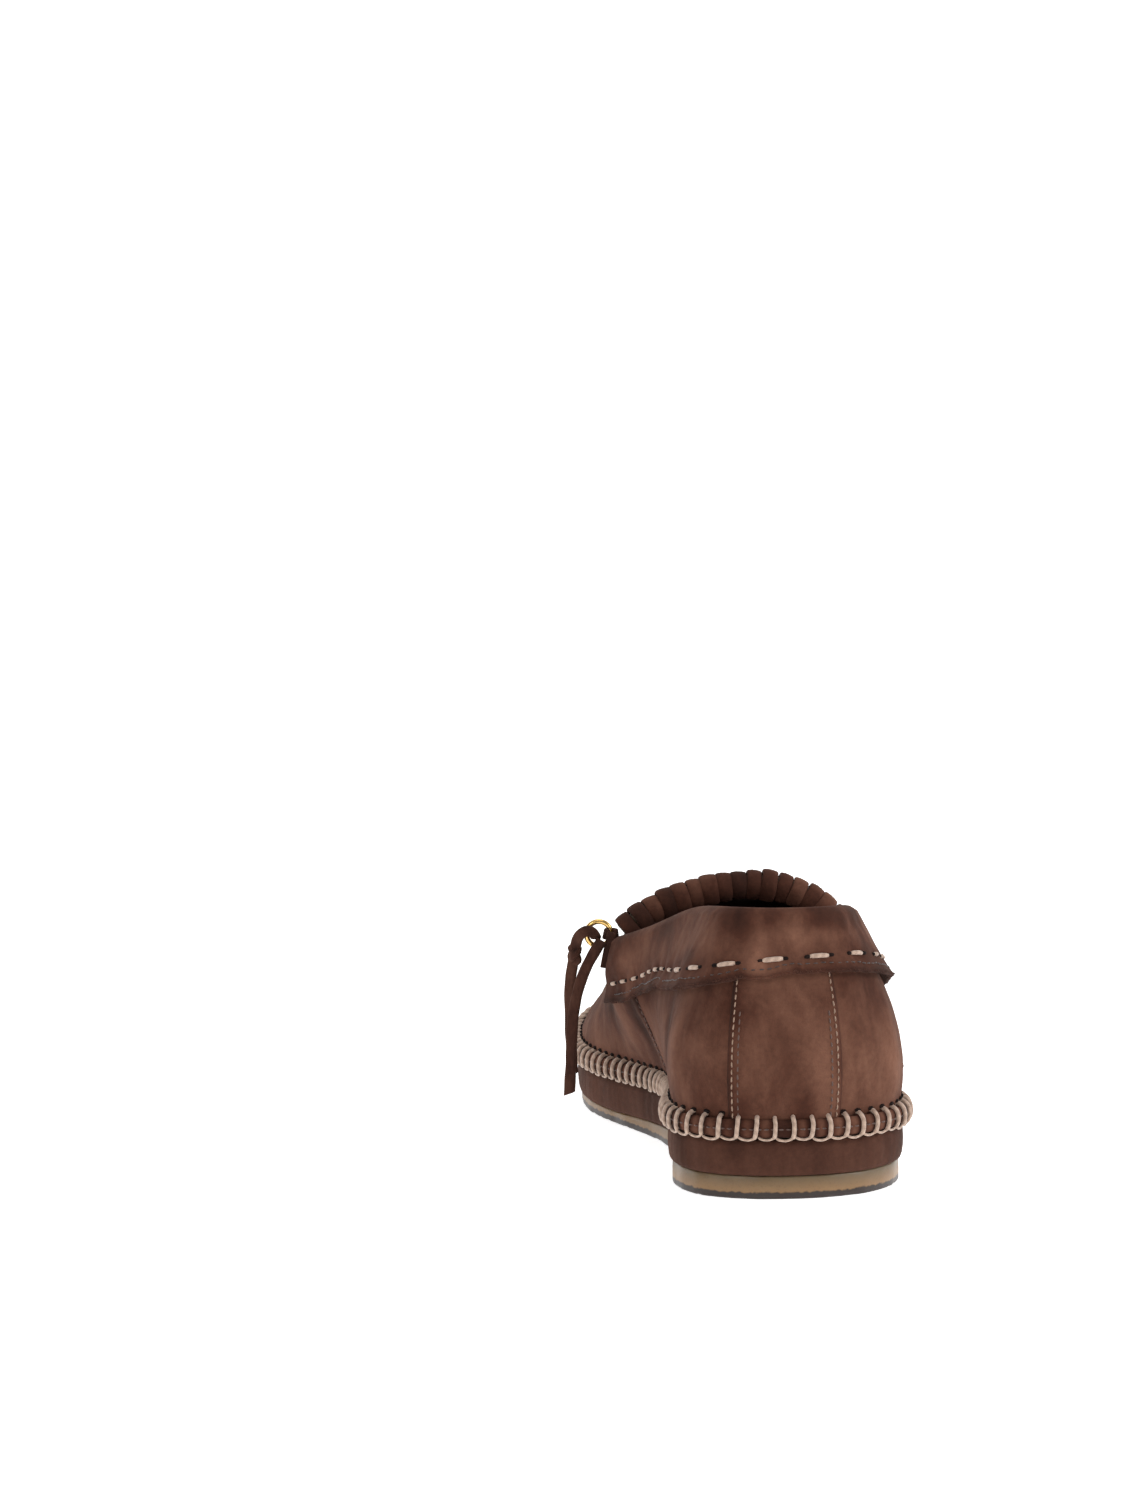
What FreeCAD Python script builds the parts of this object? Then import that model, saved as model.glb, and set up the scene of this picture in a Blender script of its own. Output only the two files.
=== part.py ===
"""Right-foot moccasin: gum sole, suede-wrapped midsole, whipstitched upper,
turned collar, wrapped throat roll, and a ring with a thong tie on each side.

Millimetres.  +Y runs from heel to toe, +X to the outer (lateral) side, +Z up.
The drawing frame has the back of the outsole at y = 0; every sub-part is then
placed so that the origin is at the bottom centre of the shoe.
"""

import FreeCAD, Part
import math
import os

from FreeCAD import Placement, Rotation, Vector

UP = Vector(0, 0, 1)
STATIONS_PER_TURN = 22
FIT_ROUNDS = 40

# Driving dimensions: name, value in mm (or degrees, or a count), meaning.
SIZES = (
    ("sole_length", 263.5, "outsole, heel to toe"),
    ("sole_width", 95.0, "outsole across the ball"),
    ("outsole_heel", 7.6, "rubber thickness under the heel"),
    ("outsole_front", 4.2, "rubber thickness under the ball"),
    ("rand_height", 11.8, "wrapped midsole, rubber to seam"),
    ("ramp_start", 60.0, "where the heel lift begins to thin"),
    ("ramp_end", 150.0, "where the sole reaches its front thickness"),
    ("spring_start", 185.0, "where the toe begins to lift"),
    ("spring_radius", 390.0, "curve of the toe lift"),
    ("insole_thick", 2.0, "insole board"),
    ("cushion_thick", 3.0, "foam under the heel"),
    ("sock_thick", 1.4, "leather sock"),
    ("layer_gap", 0.15, "clearance between stacked layers"),
    ("leather_thick", 1.6, "upper leather"),
    ("lining_thick", 0.8, "lining leather"),
    ("cuff_height", 22.5, "turned collar, topline to raw edge"),
    ("cuff_tuck", 9.0, "collar turned down inside"),
    ("ridge_half_height", 3.5, "stitched ridge"),
    ("ridge_half_width", 1.7, "stitched ridge"),
    ("stitch_radius", 0.7, "thick waxed thread"),
    ("whip_pitch", 5.9, "whipstitch spacing"),
    ("roll_core_radius", 3.3, "padding of the throat roll"),
    ("roll_radius", 4.7, "throat roll with its wrapping"),
    ("wrap_width", 4.9, "one turn of the wrapping strip"),
    ("ring_radius", 4.2, "tie ring, centre of its wire"),
    ("ring_wire", 0.9, "tie ring, wire radius"),
    ("hinge_x", 45.0, "medial ring's tab from the long axis"),
    ("hinge_y", 114.0, "medial ring's tab from the back of the heel"),
    ("hinge_z", 71.5, "medial ring above the floor"),
    ("outer_hinge_x", 42.3, "lateral ring's tab from the long axis"),
    ("outer_hinge_y", 113.5, "lateral ring's tab from the back of the heel"),
    ("outer_hinge_z", 58.5, "lateral ring above the floor"),
    ("tab_bore", 1.6, "hole of the tab round the ring wire"),
    ("tab_radius", 2.7, "tab round the ring wire"),
    ("thong_radius", 1.0, "plain tube that stands for a thong"),
    ("knot_radius", 2.6, "thong knot"),
    ("centre_x", 0.0, "drawing frame to origin"),
    ("centre_y", 131.8, "drawing frame to origin"),
)

# The outsole outline, and above each of its points the edge of the upper that
# belongs to it.  One row for each station, heel to toe by the lateral side and
# back by the medial side: outline x, y as shares of half the width and of the
# length; upper edge x, y, z; push of the wall outwards low, middle and high.
SHELL = (
    ((0.000, 0.000), (0.0, 8.0, 91.0), (5.0, 9.0, 2.0)),
    ((0.562, 0.030), (16.8, 12.0, 91.0), (5.0, 11.5, 2.0)),
    ((0.880, 0.118), (25.3, 33.0, 88.8), (5.0, 13.0, 2.5)),
    ((0.872, 0.220), (29.0, 58.0, 84.0), (4.5, 12.0, 3.0)),
    ((0.800, 0.334), (33.8, 87.0, 75.4), (3.5, 7.0, 2.5)),
    ((0.768, 0.455), (38.0, 113.0, 67.5), (3.0, 4.5, 3.0)),
    ((0.874, 0.569), (36.5, 146.0, 61.6), (3.5, 6.0, 4.0)),
    ((1.000, 0.676), (33.0, 176.0, 54.4), (4.0, 8.0, 5.0)),
    ((1.000, 0.786), (27.0, 205.0, 48.8), (4.0, 8.0, 5.0)),
    ((0.842, 0.888), (17.0, 227.0, 45.4), (4.0, 8.0, 5.5)),
    ((0.463, 0.972), (7.0, 239.5, 44.4), (4.0, 8.0, 6.0)),
    ((-0.084, 1.000), (-4.0, 243.5, 43.9), (4.0, 8.0, 6.0)),
    ((-0.610, 0.964), (-15.0, 238.5, 44.4), (4.0, 8.0, 6.0)),
    ((-0.895, 0.877), (-23.5, 224.0, 45.4), (4.0, 8.0, 5.5)),
    ((-0.995, 0.770), (-29.5, 203.0, 48.8), (4.0, 8.0, 5.0)),
    ((-0.985, 0.664), (-34.0, 175.0, 54.4), (4.0, 7.5, 5.0)),
    ((-0.832, 0.558), (-38.5, 146.0, 62.0), (3.3, 6.5, 6.4)),
    ((-0.632, 0.448), (-43.4, 113.0, 68.5), (2.4, 5.8, 8.4)),
    ((-0.550, 0.334), (-35.4, 87.0, 74.9), (3.5, 8.0, 2.5)),
    ((-0.602, 0.220), (-26.4, 58.0, 84.0), (4.5, 11.0, 1.5)),
    ((-0.672, 0.118), (-21.3, 33.0, 88.8), (5.0, 12.0, 1.0)),
    ((-0.500, 0.030), (-15.6, 12.0, 91.0), (5.0, 11.0, 1.5)),
)

# Crown of the apron along the shoe: y, height, arch across.
CROWN = ((100, 91.8, 1.55), (118, 86.7, 1.55), (150, 76.6, 1.60),
         (180, 65.2, 1.55), (210, 54.8, 1.70), (243, 44.4, 2.60), (262, 37.9, 3.20))
CROWN_X = 1.0
CROWN_POWER = 2.5

# Centre line of the throat roll, medial end to lateral end.
ROLL_PATH = ((-41.0, 115.5, 71.0), (-35.2, 116.0, 76.2), (-28.6, 117.0, 80.0),
             (-15.5, 118.0, 84.6), (1.5, 118.5, 87.3), (15.0, 118.0, 86.0),
             (25.0, 117.0, 81.6), (32.0, 116.2, 75.6), (36.4, 115.8, 68.6))

# Thong routes of the medial tie, chosen by hand.  The long tail hangs from the
# ring; the loop goes over the ring wire to the knot, and the short end hangs
# from the knot.
TAIL_ROUTE = ((-48.4, 111.0, 69.6), (-51.4, 110.2, 65.1), (-54.6, 110.6, 58.8),
              (-57.0, 111.6, 50.8), (-58.4, 112.6, 41.3), (-58.6, 113.4, 29.8),
              (-59.2, 114.0, 16.5))
LOOP_ROUTE = ((-50.2, 113.6, 70.4), (-51.2, 111.2, 72.2), (-53.6, 110.8, 73.2),
              (-56.2, 112.2, 71.2), (-57.0, 114.6, 68.1))
END_ROUTE = ((-57.6, 117.2, 61.8), (-58.8, 119.4, 53.6), (-58.4, 121.4, 43.8),
             (-58.0, 122.6, 33.0), (-57.2, 123.4, 21.4))
KNOT_CENTRE = (-57.2, 116.2, 64.6)

# The lateral ring lies flat along the side, and its tie hangs ahead of it.
LATERAL_TAIL = ((45.3, 117.7, 56.4), (46.4, 119.6, 52.3), (47.2, 120.8, 46.0),
                (48.6, 121.4, 38.0), (50.4, 121.8, 29.5), (51.6, 122.0, 20.0),
                (52.0, 122.2, 11.0))
LATERAL_LOOP = ((42.7, 119.2, 57.4), (45.1, 120.6, 59.5), (46.8, 123.6, 60.7),
                (47.6, 126.2, 58.9), (47.6, 127.4, 55.2))
LATERAL_END = ((47.9, 128.0, 49.0), (49.6, 128.6, 42.4), (52.4, 128.0, 34.4),
               (55.4, 127.4, 27.4), (57.0, 127.0, 21.4))
LATERAL_KNOT = (47.6, 127.8, 51.9)
TIES = {"medial": (TAIL_ROUTE, LOOP_ROUTE, END_ROUTE, KNOT_CENTRE),
        "lateral": (LATERAL_TAIL, LATERAL_LOOP, LATERAL_END, LATERAL_KNOT)}


class Sheet:
    """The spreadsheet of driving dimensions."""

    def __init__(self, doc):
        self.cells = doc.addObject("Spreadsheet::Sheet", "Size")
        for row, (alias, value, meaning) in enumerate(SIZES, start=1):
            self.cells.set(f"A{row}", meaning)
            self.cells.set(f"B{row}", str(value))
            self.cells.setAlias(f"B{row}", alias)
        doc.recompute()

    def __getattr__(self, alias):
        return float(self.cells.get(alias))


doc = FreeCAD.newDocument("moccasin")
size = Sheet(doc)
SIZE = {alias: getattr(size, alias) for alias, _, _ in SIZES}
PARTS = []


# ---------------------------------------------------------------- smooth lines

def fit_controls(points, closed):
    """Control points of the uniform cubic that passes through the given points."""
    count = len(points)
    controls = list(points)
    for _ in range(FIT_ROUNDS):
        fitted = []
        for i, point in enumerate(points):
            if not closed and i in (0, count - 1):
                fitted.append(point)
                continue
            near = controls[i - 1] + controls[(i + 1) % count]
            fitted.append(controls[i] + point - (near + controls[i] * 4) / 6)
        controls = fitted
    return controls


def curve_at(controls, place, closed):
    """A point of the uniform cubic at a place counted in stations."""
    count = len(controls)
    if not closed:
        place = min(max(place, 0.0), count - 1.000001)
    start = math.floor(place)
    share = place - start

    def control(i):
        if closed:
            return controls[i % count]
        if i < 0:
            return controls[0] * 2 - controls[1]
        if i >= count:
            return controls[-1] * 2 - controls[-2]
        return controls[i]

    rest = 1 - share
    return (control(start - 1) * rest ** 3
            + control(start) * (3 * share ** 3 - 6 * share ** 2 + 4)
            + control(start + 1) * (3 * rest ** 3 - 6 * rest ** 2 + 4)
            + control(start + 2) * share ** 3) / 6


HALF_WIDTH = SIZE["sole_width"] / 2
OUTLINE = fit_controls(
    [Vector(x * HALF_WIDTH, y * SIZE["sole_length"], 0) for (x, y), _, _ in SHELL], True)
EDGE = fit_controls([Vector(*edge) for _, edge, _ in SHELL], True)
PUSH = fit_controls([Vector(*push) for _, _, push in SHELL], True)
CROWN_LINE = fit_controls([Vector(*row) for row in CROWN], False)
ROLL = fit_controls([Vector(*point) for point in ROLL_PATH], False)


def outward(station):
    """Unit vector in plan that points away from the foot."""
    step = 0.02
    along = curve_at(OUTLINE, station + step, True) - curve_at(OUTLINE, station - step, True)
    return Vector(along.y, -along.x, 0).normalize()


def outline(station, offset):
    """A point of the sole outline, moved outwards."""
    return curve_at(OUTLINE, station, True) + outward(station) * offset


# ---------------------------------------------------------------- heights

def toe_lift(y):
    """Height of the bottom of the sole above the floor."""
    reach = y - SIZE["spring_start"]
    if reach <= 0:
        return 0.0
    return SIZE["spring_radius"] - math.sqrt(SIZE["spring_radius"] ** 2 - reach ** 2)


def sole_height(y, heel, front):
    """Height of a sole layer that is `heel` high behind and `front` high at the ball."""
    share = (y - SIZE["ramp_start"]) / (SIZE["ramp_end"] - SIZE["ramp_start"])
    share = min(max(share, 0.0), 1.0)
    return toe_lift(y) + heel + (front - heel) * share


RAND_HEEL = SIZE["outsole_heel"] + SIZE["rand_height"]
RAND_FRONT = SIZE["outsole_front"] + SIZE["rand_height"]


def rand_top(y):
    """Height of the seam between the wrapped midsole and the upper."""
    return sole_height(y, RAND_HEEL, RAND_FRONT)


def crown_height(x, y):
    """Height of the apron over a point in plan."""
    low, high = 0.0, len(CROWN) - 1.0
    for _ in range(30):
        middle = (low + high) / 2
        if curve_at(CROWN_LINE, middle, False).x < y:
            low = middle
        else:
            high = middle
    row = curve_at(CROWN_LINE, low, False)
    return row.y - row.z * abs(x - CROWN_X) ** CROWN_POWER / 1000


# ---------------------------------------------------------------- upper wall

FEATHER_OFFSET = -1.1
FEATHER_LIFT = 0.3
APRON_START = 113.0
LOW_SHARE, MIDDLE_SHARE, HIGH_SHARE = 0.25, 0.48, 0.80


def upper_edge(station):
    """Top edge of the upper: the topline behind, the apron seam in front."""
    point = curve_at(EDGE, station, True)
    if point.y > APRON_START:
        blend = min((point.y - APRON_START) / 12, 1.0)
        point.z += (crown_height(point.x, point.y) - point.z) * blend
    return point


def wall(station, share):
    """The outer face of the upper: share 0 at the feather line, 1 at the top edge."""
    foot = outline(station, FEATHER_OFFSET)
    foot.z = rand_top(foot.y) + FEATHER_LIFT
    top = upper_edge(station)
    out = outward(station)
    push = curve_at(PUSH, station, True)
    rise = top.z - foot.z
    span = top - foot
    points = [foot,
              foot + out * push.x + UP * (rise * LOW_SHARE),
              foot + span * MIDDLE_SHARE + out * push.y,
              foot + span * HIGH_SHARE + out * push.z,
              top]
    while len(points) > 1:
        points = [a + (b - a) * share for a, b in zip(points, points[1:])]
    return points[0]


def wall_frame(station, share):
    """A point of the wall, its outward normal and its upward tangent."""
    step = 0.01
    low = max(share - step, 0.0)
    high = min(share + step, 1.0)
    upward = (wall(station, high) - wall(station, low)).normalize()
    along = wall(station + step, share) - wall(station - step, share)
    return wall(station, share), along.cross(upward).normalize(), upward


def layer_point(station, share, depth):
    """A point at some depth outside (+) or inside (-) the outer face."""
    point, normal, _ = wall_frame(station, share)
    return point + normal * depth


def share_at(station, height):
    """The share of the wall where it reaches a height."""
    low, high = 0.0, 1.0
    for _ in range(24):
        middle = (low + high) / 2
        if wall(station, middle).z < height:
            low = middle
        else:
            high = middle
    return low


def between(start, end, count):
    """Evenly spaced values, both ends included."""
    return [start + (end - start) * i / (count - 1) for i in range(count)]


# ---------------------------------------------------------------- solids

def place_part(part, label):
    """Name a sub-part and move it from the drawing frame to the part's frame."""
    part.Label = label
    part.setExpression("Placement.Base.x", "-Size.centre_x")
    part.setExpression("Placement.Base.y", "-Size.centre_y")
    PARTS.append(part)


def add_shape(label, shape):
    """A sub-part whose shape is made here from the sheet's sizes."""
    part = doc.addObject("Part::Feature", label)
    part.Shape = shape
    place_part(part, label)
    return part


def closed_solid(faces):
    """Sew faces into one outward-facing solid."""
    shell = Part.makeShell(faces)
    shell.sewShape()
    shell = shell.Shells[0] if shell.ShapeType != "Shell" else shell
    solid = Part.makeSolid(shell)
    if solid.Volume < 0:
        solid.reverse()
    return solid


def sheet_solid(outer, inner):
    """A closed solid between two grids of points with the same layout."""
    faces = []
    borders = []
    for grid in (outer, inner):
        surface = Part.BSplineSurface()
        surface.interpolate(grid)
        faces.append(surface.toShape())
        low_u, high_u, low_v, high_v = surface.bounds()
        borders.append([surface.uIso(low_u), surface.uIso(high_u),
                        surface.vIso(low_v), surface.vIso(high_v)])
    for outer_edge, inner_edge in zip(*borders):
        faces.append(Part.makeRuledSurface(outer_edge.toShape(), inner_edge.toShape()))
    return closed_solid(faces)


def wall_panel(first, last, low, high, outer_depth, inner_depth, columns, rows):
    """A panel of the upper between two slanted edges, given as functions of share."""
    outer, inner = [], []
    for i in range(columns):
        along = i / (columns - 1)
        outer_line, inner_line = [], []
        for j in range(rows):
            rise = j / (rows - 1)
            station = first(rise) + (last(rise) - first(rise)) * along
            share = low(station) + (high(station) - low(station)) * rise
            outer_line.append(layer_point(station, share, outer_depth))
            inner_line.append(layer_point(station, share, inner_depth))
        outer.append(outer_line)
        inner.append(inner_line)
    return sheet_solid(outer, inner)


def ring_solid(section, stations):
    """A solid that goes round the shoe: section(station) gives its corner points."""
    sections = [section(i * STATIONS_PER_TURN / stations) for i in range(stations)]
    halves = []
    for line in zip(*sections):
        curve = Part.BSplineCurve()
        curve.interpolate(Points=list(line), PeriodicFlag=True)
        middle = curve.parameter(line[stations // 2])
        halves.append((curve.toShape(curve.FirstParameter, middle),
                       curve.toShape(middle, curve.LastParameter)))
    faces = []
    for edges, next_edges in zip(halves, halves[1:] + halves[:1]):
        for half in (0, 1):
            faces.append(Part.makeRuledSurface(edges[half], next_edges[half]))
    return closed_solid(faces)


def folded_solid(outer, inner):
    """A solid between two grids whose rows are joined by straight rulings."""
    def row_edges(grid):
        edges = []
        for line in zip(*grid):
            curve = Part.BSplineCurve()
            curve.interpolate(Points=list(line))
            edges.append(curve.toShape())
        return edges

    loop = row_edges(outer) + row_edges(inner)[::-1]
    faces = [Part.makeRuledSurface(a, b) for a, b in zip(loop, loop[1:] + loop[:1])]
    for end in (0, -1):
        pairs = list(zip(outer[end], inner[end]))
        rungs = [Part.LineSegment(a, b).toShape() for a, b in pairs]
        faces += [Part.makeRuledSurface(a, b) for a, b in zip(rungs, rungs[1:])]
    return closed_solid(faces)


def tube(points, radius):
    """Straight runs joined by tangent arcs, swept with a round section."""
    runs = [(b - a).Length for a, b in zip(points, points[1:])]
    edges = []
    start = points[0]
    radii = []
    for i in range(1, len(points) - 1):
        before = (points[i] - points[i - 1]).normalize()
        after = (points[i + 1] - points[i]).normalize()
        half_turn = before.getAngle(after) / 2
        reach = 0.45 * min(runs[i - 1], runs[i])
        radii.append(reach / math.tan(half_turn))
        arc_start = points[i] - before * reach
        arc_end = points[i] + after * reach
        bend = (after - before).normalize()
        centre = points[i] + bend * math.hypot(reach, radii[-1])
        middle = centre - bend * radii[-1]
        edges.append(Part.LineSegment(start, arc_start).toShape())
        edges.append(Part.Arc(arc_start, middle, arc_end).toShape())
        start = arc_end
    edges.append(Part.LineSegment(start, points[-1]).toShape())
    path = Part.Wire(edges)
    heading = points[1] - points[0]
    profile = Part.Wire(Part.Circle(points[0], heading, radius).toShape())
    solid = path.makePipeShell([profile], True, False)
    expected = math.pi * radius ** 2 * path.Length
    print(f"  thong: length {path.Length:.1f}, volume {solid.Volume:.1f} of "
          f"{expected:.1f}, radii " + ", ".join(f"{r:.1f}" for r in radii))
    return solid


def sector_torus(centre, axis, towards, radius, wire, half_angle):
    """Part of a thin ring, open on the side away from `towards`."""
    torus = Part.makeTorus(radius, wire, Vector(), UP, 0, 360, 2 * half_angle)
    torus.rotate(Vector(), UP, -half_angle)
    side = axis.cross(towards)
    turn = Rotation(towards, side, axis, "ZXY")
    torus.Placement = Placement(centre, turn).multiply(torus.Placement)
    return torus


# ---------------------------------------------------------------- sole

def add_sketch(body, plane, name):
    """A sketch on one of the body's own planes."""
    sketch = body.newObject("Sketcher::SketchObject", name)
    origin = [f for f in body.Origin.OriginFeatures if f.Role == plane]
    sketch.AttachmentSupport = [(origin[0], "")]
    sketch.MapMode = "FlatFace"
    return sketch


SIDE_START, SIDE_END = -20.0, 290.0


def side_line(heel, front):
    """Edges of one face of a sole layer, seen from the side, heel to toe."""
    heights = [(SIDE_START, heel), (SIZE["ramp_start"], heel),
               (SIZE["ramp_end"], front), (SIZE["spring_start"], front)]
    points = [Vector(y, z, 0) for y, z in heights]
    edges = [Part.LineSegment(a, b) for a, b in zip(points, points[1:])]
    radius = SIZE["spring_radius"] - front
    centre = Vector(SIZE["spring_start"], SIZE["spring_radius"], 0)
    reach = SIDE_END - SIZE["spring_start"]
    turn = math.asin(reach / radius)
    middle = centre + Vector(math.sin(turn / 2), -math.cos(turn / 2), 0) * radius
    end = centre + Vector(math.sin(turn), -math.cos(turn), 0) * radius
    edges.append(Part.Arc(points[-1], middle, end))
    return edges, points[0], end


def plan_loop(inset, reach):
    """Closed outline inside the sole's; with a reach, only that many stations of the heel."""
    curve = Part.BSplineCurve()
    if reach is None:
        loop = [outline(i / 2, -inset) for i in range(2 * STATIONS_PER_TURN)]
        curve.interpolate(Points=loop, PeriodicFlag=True)
        return [curve]
    loop = [outline(station, -inset) for station in between(-reach, reach, 17)]
    curve.interpolate(Points=loop)
    return [curve, Part.LineSegment(loop[-1], loop[0])]


def sole_layer(label, low, high, inset, reach=None):
    """A sole layer: its side profile padded across, then trimmed to the outline."""
    body = doc.addObject("PartDesign::Body", label)
    side = add_sketch(body, "YZ_Plane", label + "_side")
    low_edges, low_start, low_end = side_line(*low)
    high_edges, high_start, high_end = side_line(*high)
    for curve in low_edges + high_edges:
        side.addGeometry(curve, False)
    side.addGeometry(Part.LineSegment(low_start, high_start), False)
    side.addGeometry(Part.LineSegment(low_end, high_end), False)
    pad = body.newObject("PartDesign::Pad", label + "_pad")
    pad.Profile = side
    pad.Midplane = True
    pad.setExpression("Length", "Size.sole_width + 40")
    doc.recompute()
    untrimmed = pad.Shape.Volume

    plan = add_sketch(body, "XY_Plane", label + "_plan")
    rim = SIZE["sole_width"]
    corners = [Vector(-rim, SIDE_START - 5, 0), Vector(rim, SIDE_START - 5, 0),
               Vector(rim, SIDE_END + 5, 0), Vector(-rim, SIDE_END + 5, 0)]
    for a, b in zip(corners, corners[1:] + corners[:1]):
        plan.addGeometry(Part.LineSegment(a, b), False)
    for curve in plan_loop(inset, reach):
        plan.addGeometry(curve, False)
    trim = body.newObject("PartDesign::Pocket", label + "_trim")
    trim.Profile = plan
    trim.Type = "ThroughAll"
    trim.Midplane = True
    body.Tip = trim
    doc.recompute()
    if not trim.Shape.Volume < 0.8 * untrimmed:
        raise RuntimeError(label + ": the outline pocket cut nothing")
    place_part(body, label)
    return body


gap = SIZE["layer_gap"]
BOARD_HEEL = RAND_HEEL + 0.15 + SIZE["insole_thick"]
BOARD_FRONT = RAND_FRONT + 0.15 + SIZE["insole_thick"]
CUSHION_INSET = 9.0
CUSHION_REACH = 4.4
CUSHION_TOE = 0.7

sole_layer("outsole", (0, 0), (SIZE["outsole_heel"], SIZE["outsole_front"]), 0.0)
sole_layer("midsole",
           (SIZE["outsole_heel"] + gap, SIZE["outsole_front"] + gap),
           (RAND_HEEL, RAND_FRONT), 1.7)
sole_layer("insole_board",
           (RAND_HEEL + gap, RAND_FRONT + gap), (BOARD_HEEL, BOARD_FRONT), 6.6)
sole_layer("heel_cushion",
           (BOARD_HEEL + gap, BOARD_FRONT + gap),
           (BOARD_HEEL + SIZE["cushion_thick"], BOARD_FRONT + CUSHION_TOE),
           CUSHION_INSET, reach=CUSHION_REACH)
SOCK_HEEL = BOARD_HEEL + SIZE["cushion_thick"] + gap
SOCK_FRONT = BOARD_FRONT + CUSHION_TOE + gap
sole_layer("sock_liner",
           (SOCK_HEEL, SOCK_FRONT),
           (SOCK_HEEL + SIZE["sock_thick"], SOCK_FRONT + SIZE["sock_thick"]), 7.6)


def rand_section(station):
    """Suede strip wrapped round the midsole."""
    foot = curve_at(OUTLINE, station, True)
    low = sole_height(foot.y, SIZE["outsole_heel"], SIZE["outsole_front"]) + gap
    high = rand_top(foot.y)
    shape = ((-1.4, low), (0.4, low), (1.4, low + 2.5), (1.5, high - 3.0),
             (0.9, high), (-0.9, high))
    out = outward(station)
    return [foot + out * offset + UP * z for offset, z in shape]


RIDGE_OFFSET = 1.95
RIDGE_LIFT = SIZE["ridge_half_height"] + 0.3


def ridge_centre(station):
    """Middle of the stitched ridge."""
    point = outline(station, RIDGE_OFFSET)
    point.z = rand_top(point.y) + RIDGE_LIFT
    return point


def ridge_section(station):
    """Rolled strip under the whipstitch, an upright oval."""
    centre = ridge_centre(station)
    out = outward(station)
    corners = []
    for i in range(8):
        angle = math.radians(45 * i + 22.5)
        corners.append(centre + out * (SIZE["ridge_half_width"] * math.cos(angle))
                       + UP * (SIZE["ridge_half_height"] * math.sin(angle)))
    return corners


add_shape("rand_cover", ring_solid(rand_section, 44))
add_shape("welt_strip", ring_solid(ridge_section, 44))


def even_stations(line, start, end, pitch):
    """Stations that lie a pitch apart along a line round the shoe."""
    steps = 800
    places = between(start, end, steps)
    points = [line(p) for p in places]
    length = sum((b - a).Length for a, b in zip(points, points[1:]))
    count = max(2, round(length / pitch))
    wanted = [length * (i + 0.5) / count for i in range(count)]
    found = []
    travelled = 0.0
    for i in range(1, steps):
        travelled += (points[i] - points[i - 1]).Length
        if len(found) < count and travelled >= wanted[len(found)]:
            found.append(places[i])
    return found


WHIP_RADIUS = 4.35
WHIP_SINK = 0.9
WHIP_HALF_ANGLE = 72


def whipstitches():
    """Thick thread over the ridge, one loop at each hole."""
    loops = []
    for station in even_stations(ridge_centre, 0, STATIONS_PER_TURN, SIZE["whip_pitch"]):
        out = outward(station)
        centre = ridge_centre(station) - out * WHIP_SINK
        along = out.cross(UP)
        loops.append(sector_torus(centre, along, out, WHIP_RADIUS,
                                  SIZE["stitch_radius"], WHIP_HALF_ANGLE))
    return Part.makeCompound(loops)


add_shape("whipstitch_thread", whipstitches())

# ---------------------------------------------------------------- upper

LEATHER = -SIZE["leather_thick"]
SEAM_GAP = 0.012
SEAM_TOP, SEAM_FOOT = 4.72, 3.95
HEEL_SEAM = 0.012


def lateral_seam(rise):
    """Station of the slanted seam between quarter and vamp, lateral side."""
    return SEAM_FOOT + (SEAM_TOP - SEAM_FOOT) * rise


def medial_seam(rise):
    """The same seam on the medial side."""
    return STATIONS_PER_TURN - lateral_seam(rise)


def steady(value):
    """A bound that is the same at every station."""
    return lambda _: value


QUARTER_TOP = 0.985
add_shape("lateral_quarter", wall_panel(
    steady(HEEL_SEAM), lambda v: lateral_seam(v) - SEAM_GAP, steady(0.0),
    steady(QUARTER_TOP), 0.0, LEATHER, 22, 11))
add_shape("medial_quarter", wall_panel(
    lambda v: medial_seam(v) + SEAM_GAP - STATIONS_PER_TURN, steady(-HEEL_SEAM),
    steady(0.0), steady(QUARTER_TOP), 0.0, LEATHER, 22, 11))
add_shape("vamp", wall_panel(
    lateral_seam, medial_seam, steady(0.0), steady(QUARTER_TOP), 0.0, LEATHER, 44, 9))

STRIP_LIFT = 0.12
STRIP_THICK = 1.2
STRIP_LOW, STRIP_HIGH = 0.13, 0.80


def strip_edge(rise):
    """Half width of the heel strip, in stations."""
    return 0.66 + 0.06 * rise


add_shape("heel_strip", wall_panel(
    lambda v: -strip_edge(v), strip_edge, steady(STRIP_LOW), steady(STRIP_HIGH),
    STRIP_LIFT + STRIP_THICK, STRIP_LIFT, 9, 9))

COUNTER_OUT, COUNTER_IN = LEATHER - 0.15, LEATHER - 0.95
LINING_OUT = COUNTER_IN - 0.3
LINING_IN = LINING_OUT - SIZE["lining_thick"]
CUFF_TOP = 0.985
TUCK_CLEARANCE = 1.6


def below_tuck(station):
    """Share of the wall just under the part of the collar that is turned inside."""
    tuck_end = wall(station, CUFF_TOP).z - SIZE["cuff_tuck"]
    return share_at(station, tuck_end - TUCK_CLEARANCE)


add_shape("heel_counter", wall_panel(
    steady(-3.3), steady(3.3), steady(0.05), steady(0.66), COUNTER_OUT, COUNTER_IN, 22, 7))
add_shape("toe_puff", wall_panel(
    steady(8.6), steady(13.4), steady(0.05), steady(0.75), COUNTER_OUT, COUNTER_IN, 18, 7))
add_shape("quarter_lining", wall_panel(
    steady(-4.86), steady(4.66), steady(0.02), below_tuck, LINING_OUT, LINING_IN, 34, 9))
add_shape("vamp_lining", wall_panel(
    steady(4.70), steady(17.10), steady(0.02), steady(0.95), LINING_OUT, LINING_IN, 44, 8))

CUFF_START, CUFF_END = -4.82, 4.62
LATERAL_DROP = 3.4
MEDIAL_DROP = 6.5


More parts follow.
